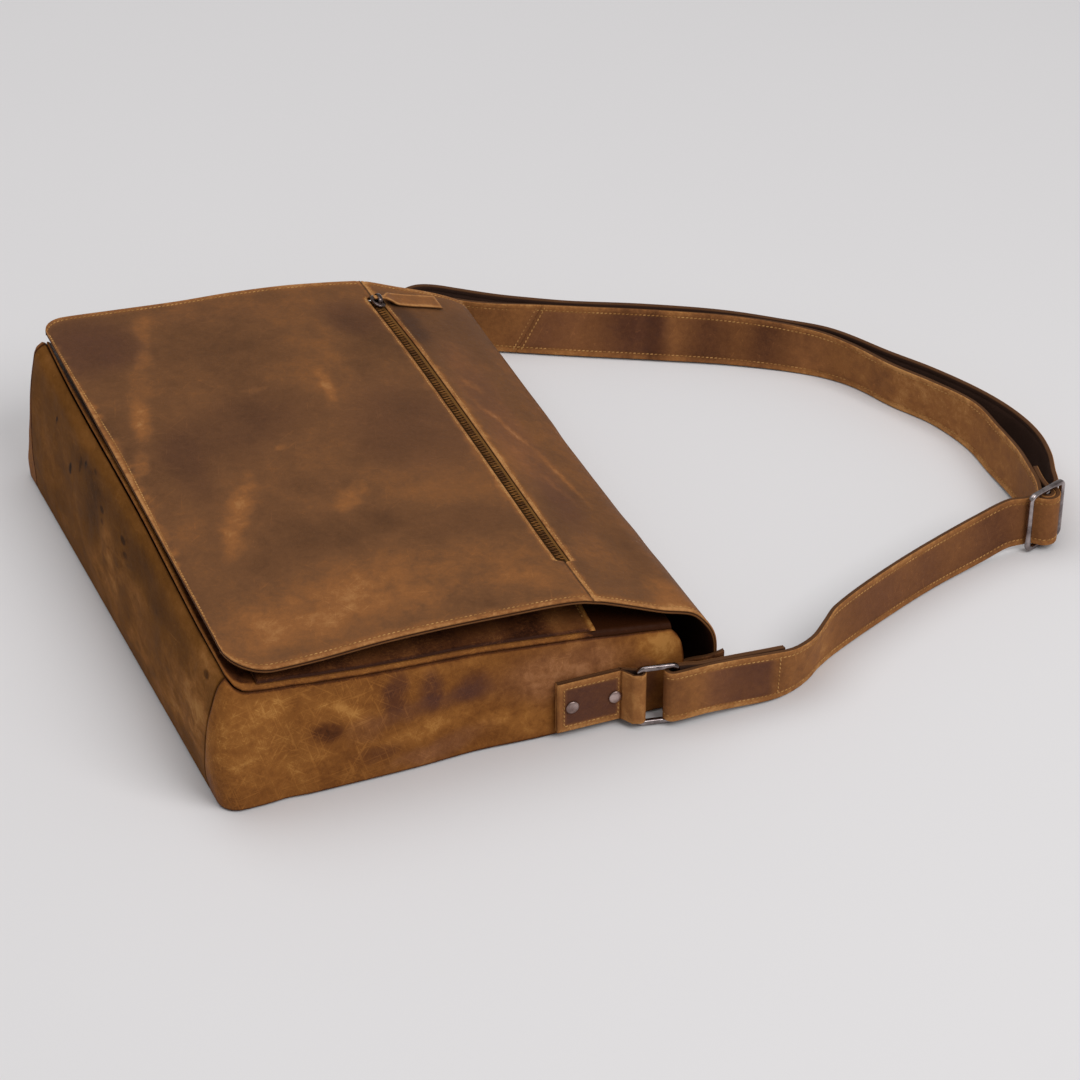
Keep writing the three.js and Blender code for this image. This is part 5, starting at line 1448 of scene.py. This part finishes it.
def flap_step_at(x, y):
    """Step of the flap's profile at a place along the bag, near the zip seam, by halving."""
    low, high = (np.full(x.shape, SEAM_ROW + reach) for reach in STEP_SEARCH)
    for _ in range(STEP_HALVINGS):
        middle = (low + high) / 2
        before = flap_surface(middle, y)[..., 0] > x
        low, high = np.where(before, middle, low), np.where(before, high, middle)
    return low


def slider_axes():
    """Place of the zip slider on the flap, and its directions across the zip, along it and up."""
    y = np.array([ZIP_SLIDER.y])
    step = flap_step_at(np.array([SEAM_X]), y)
    up = flap_normal(step, y)[0]
    along = unit(np.array([0, 1, 0]) - up * up[1])
    return flap_surface(step, y)[0] + up * GAP, np.cross(along, up), along, up


def build_zip_slider():
    """Zip slider: a cushion-shaped body, of rounded rectangles with narrower ends that swell and shrink with
    height, and a bridge that holds the pull, an oval carried along an arch."""
    origin, across, along, up = slider_axes()
    angle = full_turn(ZIP_SLIDER.sides)
    cosine, sine = np.cos(angle), np.sin(angle)
    waist = 1 - ZIP_SLIDER.waist * sine**2
    wide = ZIP_SLIDER.width / 2 * waist * bulge(cosine, ZIP_SLIDER.power)
    long = ZIP_SLIDER.length / 2 * bulge(sine, ZIP_SLIDER.power)
    level = wide[:, None] * across + long[:, None] * along
    height = ZIP_SLIDER.height * ZIP_SLIDER_LEVELS[:, None, None]
    rings = origin + ZIP_SLIDER_SWELL[:, None, None] * level + height * up
    closed_tubes("zip_slider_body", rings[None], dark_metal, ["zip_slider"])
    turn = np.linspace(0, math.pi, ZIP_BRIDGE.stations)
    run = ZIP_BRIDGE.half * bulge(np.cos(turn), ZIP_BRIDGE.powers[0])
    rise = ZIP_BRIDGE.foot + (ZIP_BRIDGE.top - ZIP_BRIDGE.foot) * np.sin(turn) ** ZIP_BRIDGE.powers[1]
    path = origin + run[:, None] * along + rise[:, None] * up
    inward = np.cross(unit(np.gradient(path, axis=0)), across)
    angle = full_turn(ZIP_BRIDGE.sides)
    section = np.stack([ZIP_BRIDGE.width * np.cos(angle), ZIP_BRIDGE.thick * np.sin(angle)], axis=1) / 2
    sweep("zip_slider_bridge", path, across, inward, section, [dark_metal])


def pull_surface(along, share):
    """Leather pull: its upper face at a height over the flap, along its middle line and across it."""
    y = ZIP_SLIDER.y + follow(PULL, "along", "aside", along) + share * follow(PULL, "along", "half", along)
    step = flap_step_at(SEAM_X + along, y)
    lift = follow(PULL, "along", "up", along) + PULL_LEATHER
    return flap_surface(step, y) + lift[..., None] * flap_normal(step, y)


def build_zip_pull():
    """Leather pull: a strip that leaves the slider's bridge, widens, and lies down on the flap."""
    along, share = grid(
        np.linspace(PULL["along"][0], PULL["along"][-1], PULL_GRID.along),
        np.linspace(-1, 1, PULL_GRID.across),
    )

    def wear(surface, sides):
        """Lighter leather, more so within a short way of the sides."""
        worn_edge = PULL_WEAR.edge * smooth_step(*PULL_WEAR.reach, nearest(sides))
        return PULL_WEAR.plain + worn_edge, np.zeros(along.shape)

    leather_piece(
        "zip_pull_leather", pull_surface, along, share, PULL_LEATHER, 1, FLAP_FINISH,
        ["zip_pull"], marks=wear, shoulder=PULL_SHOULDER,
    )


# Strap, tabs and metal


def round_bar(bar, radius, start, end, steps):
    """Places of a strap round a bar, from one angle to another in equal steps."""
    angle = np.linspace(start, end, steps + 1)
    return [(bar[0] + radius * math.cos(a), bar[1] + radius * math.sin(a), 0, LIFT) for a in angle]


def strap_bar(ring, side):
    """Place of the ring's bar that the strap goes round."""
    y = side * (RING_BAR_Y + ring.out)
    return ring.x + RING_SPAN * math.cos(ring.turn), y + RING_SPAN * math.sin(ring.turn)


def strap_profile(thickness, width, stitched):
    """Cross-section of a strap: two faces with round shoulders and a dip along each row of stitches, and a
    shallow groove in each edge. The first half of the points is the face on the strap's left."""
    lines = STRAP_RISE_LINES[STRAP_RISE_LINES < width * STRAP_LINES_SHARE]
    rise = np.concatenate([lines, [width / 2], width - lines[::-1]])
    edge = np.minimum(rise, width - rise)
    half = thickness / 2 - round_shoulder(edge, STRAP_SHOULDER)
    if stitched:
        half = half - stitch_groove(edge, *STRAP_STITCH_DIP)
    left = np.stack([half, rise], axis=1)
    right = np.stack([-half, rise], axis=1)[::-1]
    groove = STRAP_EDGE_GROOVE
    return np.concatenate([left, [[0, width - groove]], right, [[0, groove]]]), len(rise)


def strap_stations(rows, smooth):
    """Stations of a strap along its route: on the smooth curve through its rows, closer together in its
    bends, or else on the straight lines between them."""
    route = dict(zip(("x", "y", "lean", "lift"), np.array(rows, float).T))
    spans = np.hypot(np.diff(route["x"]), np.diff(route["y"]))
    run = np.concatenate([[0], np.cumsum(spans)])
    if not smooth:
        at = np.unique(np.concatenate([run, np.arange(0, run[-1], STRAP_SPACING.straight)]))
        return {column: np.interp(at, run, values) for column, values in route.items()}
    counts = np.maximum(np.round(spans / STRAP_SPACING.smooth), 3).astype(int)
    parts = [np.linspace(a, b, n, endpoint=False) for a, b, n in zip(run, run[1:], counts)]
    at = np.concatenate([*parts, run[-1:]])
    route["run"] = run
    return {column: follow(route, "run", column, at) for column in ("x", "y", "lean", "lift")}


def strap_axes(stations, thickness, lean_side):
    """Foot, sideways and upward directions of a strap that stands on its edge and leans."""
    along = unit(stack(np.gradient(stations["x"]), np.gradient(stations["y"]), 0))
    side = stack(-along[:, 1], along[:, 0], 0)
    lean = np.radians(stations["lean"]) * lean_side
    cosine, sine = np.cos(lean)[:, None], np.sin(lean)[:, None]
    upright = np.array([0, 0, 1.0])
    edge = GAP + np.maximum(stations["lift"], 0) + np.abs(np.sin(lean)) * thickness / 2
    foot = stack(stations["x"], stations["y"], edge)
    return foot, side * cosine - upright * sine, upright * cosine + side * sine


def stitches_along(strap, rise, half):
    """Row of stitches along a strap's right face, at a rise over its lower edge."""
    foot, across, up = strap
    return foot + up * rise - across * half, -across


def stitches_across(strap, at, rise, half, shift=0.0):
    """Row of stitches across a strap's right face at one of its stations, which may be shifted."""
    foot, across, up = (part[at] for part in strap)
    path = foot + up * rise[:, None] - across * half + shift
    return path, np.broadcast_to(-across, path.shape)


def splice_reach(rise):
    """How far the splice's slant runs on at a rise over the strap's lower edge."""
    return SPLICE.slant * (rise / STRAP_WIDTH - SPLICE.still)


def splice_slip(strap, rise, last):
    """Slip along the strap of its points at a rise, so that its spliced end runs on a slant: all of it at
    that end, none a little way off."""
    foot, across, up = strap
    run = run_along(foot)
    fade = smooth_step(SPLICE.fade, 0, run[-1] - run if last else run)
    reach = splice_reach(rise) + (SPLICE.close if last else -SPLICE.close)
    along = unit(np.cross(across, up))
    return along[:, None] * (fade[:, None] * reach)[..., None]


def splice_stitches(strap, last):
    """Row of stitches beside the slanted splice, from the strap's lower edge to its upper one."""
    rise = np.linspace(SPLICE.clear, STRAP_WIDTH - SPLICE.clear, ROW_POINTS)
    at, inward = (-1, -1) if last else (0, 1)
    along = unit(np.cross(strap[1][at], strap[2][at]))
    reach = splice_reach(rise) + inward * SPLICE.stitches
    return stitches_across(strap, at, rise, STRAP_LEATHER / 2, along * reach[:, None])


def build_strap(name, rows, thickness, width, lean_side, marks, stitched=True, smooth=True, splice=None):
    """A strap carried along its route: grain on its right face, flesh on its left, stitched near both
    edges, and perhaps spliced at its first or last end."""
    strap = foot, across, up = strap_axes(strap_stations(rows, smooth), thickness, lean_side)
    section, count = strap_profile(thickness, width, stitched)
    flesh = np.full(count - 1, FLESH)
    flesh[:CUT_STRIPS] = flesh[-CUT_STRIPS:] = CUT
    kinds = np.concatenate([flesh, [CUT, CUT], np.full(count - 1, GRAIN), [CUT, CUT]])
    from_edge = np.minimum(section[:, 1], width - section[:, 1])
    edge = np.broadcast_to(from_edge, (len(foot), len(section)))
    tone, plum = (np.broadcast_to(value, edge.shape) for value in marks(foot, from_edge))
    slip = splice_slip(strap, section[:, 1], splice == "last") if splice else 0.0
    values = {"tone": tone, "plum": plum, "edge": edge, "scuff": np.ones(edge.shape)}
    sweep(
        f"{name}_leather", foot, across, up, section, STRAP_FINISH, [name], kinds=kinds,
        values=values, slip=slip,
    )
    if stitched:
        half = thickness / 2 - STITCH.sunk
        edges = (STRAP_STITCH_RISE, width - STRAP_STITCH_RISE)
        stitches = [stitches_along(strap, rise, half) for rise in edges]
        if splice:
            stitches.append(splice_stitches(strap, splice == "last"))
        stitch_rows(f"{name}_stitches", stitches)
    return strap


def strap_wear(foot, from_edge):
    """Wear of the shoulder strap: soft spots along its route, lighter borders, and a dark stitched box."""
    tone, plum = np.zeros(len(foot)), np.zeros(len(foot))
    for x, y, reach, lighter, purple in zip(*STRAP_MARKS.values()):
        spot = np.exp(-((foot[:, 0] - x) ** 2 + (foot[:, 1] - y) ** 2) / reach**2)
        tone += lighter * spot
        plum += purple * spot
    in_box = (foot[:, 1] < STRAP_BOX.beyond) * 1.0
    for end, fade in ((STRAP_BOX.start, STRAP_WEAR.start), (STRAP_BOX.end, STRAP_WEAR.end)):
        in_box = in_box * smooth_step(end + fade[0], end + fade[1], foot[:, 0])
    inner = smooth_step(*STRAP_WEAR.inner, from_edge)
    box_share = np.outer(in_box, inner)
    tone = tone[:, None] + STRAP_WEAR.border * (1 - inner) + STRAP_WEAR.box * box_share
    return tone, plum[:, None] * inner + STRAP_WEAR.box_plum * box_share


def beside_slider(along, behind):
    """Row of a route at a place beside the strap slider, in the slider's own directions."""
    cosine, sine = math.cos(SLIDER_TURN), math.sin(SLIDER_TURN)
    return (SLIDER_X + along * cosine - behind * sine, SLIDER_Y + along * sine + behind * cosine, 0, LIFT)


def build_strap_long():
    """Strap from its fold on the near ring, through its slider and round the loop, to the far ring."""
    front_radius = LOOP_RADIUS + 1.5 * STRAP_LEATHER + GAP
    front = (SLIDER_TURN + WEAVE_FRONT.start, SLIDER_TURN + WEAVE_FRONT.end, WEAVE_FRONT.steps)
    far_start = FAR_LEG_TURN + math.pi / 2
    near_x, near_y = strap_bar(NEAR_RING, -1)
    near_loop = (near_x - NEAR_LOOP_SLACK, near_y)
    rows = [
        *STRAP_FOLD_BACK,
        *round_bar(near_loop, STRAP_LOOP, math.pi / 2, math.pi * 1.5, LOOP_STEPS),
        *STRAP_NEAR_RUN,
        *(beside_slider(-along, behind) for along, behind in SLIDER_WEAVE),
        *round_bar((SLIDER_X, SLIDER_Y), front_radius, *front),
        *(beside_slider(along, behind) for along, behind in SLIDER_WEAVE[::-1]),
        *STRAP_OUTER_RUN,
        *round_bar(strap_bar(FAR_RING, 1), STRAP_LOOP, far_start, far_start + math.pi, LOOP_STEPS),
        *STRAP_INNER_RUN,
    ]
    strap = build_strap("strap_long", rows, STRAP_LEATHER, STRAP_WIDTH, -1, strap_wear, splice="last")
    x, y = strap[0][:, 0], strap[0][:, 1]
    box_end = np.flatnonzero((y < STRAP_BOX.beyond) & (x > STRAP_BOX.end))[0]
    rise = np.linspace(STRAP_STITCH_RISE, STRAP_WIDTH - STRAP_STITCH_RISE, ROW_POINTS)
    box_row = stitches_across(strap, box_end, rise, STRAP_LEATHER / 2)
    stitch_rows("strap_box_stitches", [box_row])


def build_strap_short():
    """Strap that comes back from the splice by the far ring and folds round the slider's middle bar."""
    main_x, main_y, _, _ = STRAP_RETURN[-1]
    turn = math.atan2(main_y - SLIDER_Y, main_x - SLIDER_X)
    beside = (STRAP_LEATHER + SEAM_GAP) / 2

    def leg(along, across):
        """Row of the route at a place along the strap's way from the slider and across it."""
        x = SLIDER_X + along * math.cos(turn) + across * math.sin(turn)
        y = SLIDER_Y + along * math.sin(turn) - across * math.cos(turn)
        return x, y, 0, LIFT

    rows = [
        *STRAP_RETURN[:-1],
        leg(SLIDER_LOOP.main, -beside),
        leg(SLIDER_LOOP.meet, -beside),
        *round_bar((SLIDER_X, SLIDER_Y), STRAP_LOOP, turn + math.pi / 2, turn + math.pi * 1.5, LOOP_STEPS),
        leg(SLIDER_LOOP.meet, beside),
        leg(SLIDER_LOOP.end, beside),
    ]
    build_strap("strap_short", rows, STRAP_LEATHER, STRAP_WIDTH, 1, strap_wear, splice="first")


def tab_wear(foot, from_edge):
    """Wear of a tab: light borders, and darker and more purple inside its stitched box."""
    start, end, fade = TAB_BOX.start, TAB_BOX.end, TAB_BOX.fade
    in_box = smooth_step(start, start + fade, foot[:, 0]) * smooth_step(end, end - fade, foot[:, 0])
    box_share = np.outer(in_box, smooth_step(*TAB_WEAR.inner, from_edge))
    return TAB_WEAR.plain + TAB_WEAR.box * box_share, TAB_WEAR.box_plum * box_share


def build_tab(name, side, ring):
    """Tab that lies on the gusset, goes round the ring's bar and back over itself, with a stitched box."""
    under = TAB_FACE_Y + TAB_LEATHER / 2
    over = under + TAB_LEATHER + GAP
    bar_x, bar_y = ring.x, RING_BAR_Y + ring.out

    def leg(rows, y):
        """Rows of the route beside the ring's bar, each standing off by its own share."""
        steps = zip(*rows.values())
        return [(bar_x - back, y + off + share * ring.out, 0, LIFT) for back, off, share in steps]

    rows = [
        (TAB_START_X, under, 0, LIFT),
        *leg(TAB_UNDER_LEG, under),
        *round_bar((bar_x, bar_y), TAB_LOOP, -math.pi / 2, math.pi / 2, 2 * LOOP_STEPS),
        *leg(TAB_OVER_LEG, over),
        (TAB_START_X, over, 0, LIFT),
    ]
    rows = [(x, side * y, lean, lift) for x, y, lean, lift in rows][::side]
    strap = build_strap(f"strap_tab_{name}", rows, TAB_LEATHER, STRAP_WIDTH, 1, tab_wear, False, False)
    x, y = strap[0][:, 0], side * strap[0][:, 1]
    outer = np.flatnonzero((y > over - TAB_BOX.flat) & (x < TAB_BOX.end) & (x > TAB_BOX.start))
    box = [part[outer] for part in strap]
    low, high, half = STRAP_STITCH_RISE, STRAP_WIDTH - STRAP_STITCH_RISE, TAB_LEATHER / 2
    stitches = [stitches_along(box, rise, half) for rise in (low, high)]
    across = np.linspace(low, high, ROW_POINTS)
    stitches += [stitches_across(box, end, across, half) for end in (0, -1)]
    stitch_rows(f"strap_tab_{name}_stitches", stitches)


def build_mouth_tab():
    """Short tab that reaches out of the mouth beside the near ring."""
    build_strap(
        "mouth_tab", MOUTH_TAB_ROUTE, STRAP_LEATHER, MOUTH_TAB_WIDTH, 1,
        lambda foot, from_edge: (MOUTH_TAB_TONE, 0.0), stitched=False,
    )


def frame_path(length, height, corner):
    """Middle line of a bent wire frame: a rectangle with round corners, once round."""
    middles = np.array([(1, -1), (1, 1), (-1, 1), (-1, -1)]) * (length / 2 - corner, height / 2 - corner)
    angle = np.radians([[-90], [0], [90], [180]]) + np.linspace(0, math.pi / 2, WIRE.corner_steps)
    ring = middles[:, None] + corner * np.stack([np.cos(angle), np.sin(angle)], axis=-1)
    return ring.reshape(-1, 2)


def wire_section():
    """Section of the wire: a circle brought towards a square by a power of its sine and cosine."""
    angle = full_turn(WIRE.sides)
    return METAL / 2 * bulge(np.stack([np.cos(angle), np.sin(angle)], axis=1), 2 / WIRE.power)


def build_frame(name, origin, turn, length, nodes, bars=()):
    """Upright metal frame: wire carried round a rectangle, with straight bars across it."""
    flat = frame_path(length, FRAME_HEIGHT - METAL, METAL_CORNER - METAL / 2)
    run = np.array([math.cos(turn), math.sin(turn), 0.0])
    level = np.array([origin[0], origin[1], GAP + FRAME_HEIGHT / 2])
    upright = np.array([0, 0, 1.0])
    through = np.cross(upright, run)
    path = level + flat[:, :1] * run + flat[:, 1:] * upright
    outwards = np.cross(unit(np.roll(path, -1, axis=0) - np.roll(path, 1, axis=0)), through)
    sweep(name, path, outwards, through, wire_section(), [gunmetal], nodes, closed=True)
    for number, bar in enumerate(bars):
        rise = np.linspace(-0.5, 0.5, SLIDER_BAR.stations) * (FRAME_HEIGHT - METAL * SLIDER_BAR.short)
        line = level + bar * run + rise[:, None] * upright
        sweep(f"{name}_bar_{number + 1}", line, run, through, wire_section(), [gunmetal])


def build_rings():
    """A ring on each tab, turned as the strap pulls it."""
    for name, side, ring in (("near", -1, NEAR_RING), ("far", 1, FAR_RING)):
        bar = np.array([ring.x, side * (RING_BAR_Y + ring.out)])
        origin = (bar + strap_bar(ring, side)) / 2
        build_frame(f"ring_{name}_wire", origin, ring.turn, RING_SPAN, [f"ring_{name}"])


def build_rivets():
    """Domed rivets on the tabs: a profile turned round an axis that points away from the gusset."""
    angle = full_turn(RIVET.sides)
    dome = np.linspace(0, math.pi / 2, RIVET.dome)
    rim, crown = RIVET_RIM, dome[1:-1]
    flank = rim.flank + (1 - rim.flank) * np.sin(dome[: rim.steps])
    share = np.concatenate([[rim.middle, rim.foot], flank, np.cos(crown), [rim.middle]])
    flank_level = np.linspace(rim.low, rim.high, rim.steps)
    level = np.concatenate([[0, 0], flank_level, rim.high + (1 - rim.high) * np.sin(crown), [1.0]])
    radius, height = RIVET.radius * share[:, None], RIVET.height * level[:, None]
    face = TAB_FACE_Y + 2 * TAB_LEATHER + 2 * GAP
    z = GAP + LIFT + STRAP_WIDTH / 2 + radius * np.sin(angle)
    for place, side in (("near", -1), ("far", 1)):
        for number, x in enumerate(RIVET.places):
            rings = stack(x + radius * np.cos(angle), side * (face + height), z)
            node = f"rivet_{place}_{number + 1}"
            closed_tubes(f"{node}_head", rings[None], rivet_metal, [node])


build_back_panel()
build_base_panel()
build_gusset("near", -1)
build_gusset("far", 1)
build_front_panel()
build_front_pocket()
build_flap_yoke()
build_flap_panel()
build_zip_tape()
build_zip_teeth()
build_zip_slider()
build_zip_pull()
build_strap_long()
build_strap_short()
build_tab("near", -1, NEAR_RING)
build_tab("far", 1, FAR_RING)
build_mouth_tab()
build_rings()
build_frame(
    "strap_slider_frame", (SLIDER_X, SLIDER_Y), SLIDER_TURN, 2 * SLIDER_PITCH, ["strap_slider"], bars=(0,)
)
build_rivets()


# Floor, light and camera


def build_floor():
    """Plain pale floor, wide enough to fill every view."""
    f = Finish("pale_floor")
    colour = f.blend(f.noise(f.coords, *FLOOR.patches), FLOOR.low, FLOOR.high)
    f.set(Base_Color=colour, Roughness=FLOOR.roughness, Specular_IOR_Level=0.0)
    mesh = bpy.data.meshes.new("floor")
    corners = np.array([(-1, -1, 0), (1, -1, 0), (1, 1, 0), (-1, 1, 0)]) * FLOOR.half
    mesh.from_pydata(corners - np.array([0, 0, FLOOR.sink]), [], [(0, 1, 2, 3)])
    mesh.materials.append(f.material)
    floor = place_object("floor", mesh)


def light_studio():
    """Even pale surroundings, and square soft boxes that face their targets: a broad key from the right of
    the camera and a softer one overhead."""
    world = bpy.data.worlds.new("studio")
    world.use_nodes = True
    background = world.node_tree.nodes["Background"]
    background.inputs["Color"].default_value = (1, 1, 1, 1)
    background.inputs["Strength"].default_value = WORLD_LIGHT
    bpy.context.scene.world = world
    for name, box in LIGHTS.items():
        light = bpy.data.lights.new(name, "AREA")
        light.shape = "SQUARE"
        light.size = box.size
        light.energy = box.power
        lamp = place_object(name, light)
        lamp.location = box.place
        aim = Vector(box.target) - Vector(box.place)
        lamp.rotation_euler = aim.to_track_quat("-Z", "Y").to_euler()
    bpy.context.scene.view_settings.view_transform = "Standard"


def place_camera():
    """Camera at the photograph's angle: turned, raised and rolled round its target."""
    turn, rise, roll = CAMERA.turn, CAMERA.rise, CAMERA.roll
    back = Vector((math.sin(turn) * math.cos(rise), -math.cos(turn) * math.cos(rise), math.sin(rise)))
    level = Vector((0, 0, 1)).cross(back).normalized()
    upward = back.cross(level)
    right = math.cos(roll) * level + math.sin(roll) * upward
    top = math.cos(roll) * upward - math.sin(roll) * level
    data = bpy.data.cameras.new("camera")
    data.sensor_width = CAMERA.sensor
    data.lens = CAMERA.lens
    data.clip_end = CAMERA.far
    camera = place_object("camera", data)
    place = Vector(CAMERA.target) + back * CAMERA.distance
    camera.matrix_world = Matrix.Translation(place) @ Matrix((right, top, back)).transposed().to_4x4()
    bpy.context.scene.camera = camera


build_floor()
light_studio()
place_camera()

bpy.context.view_layer.update()
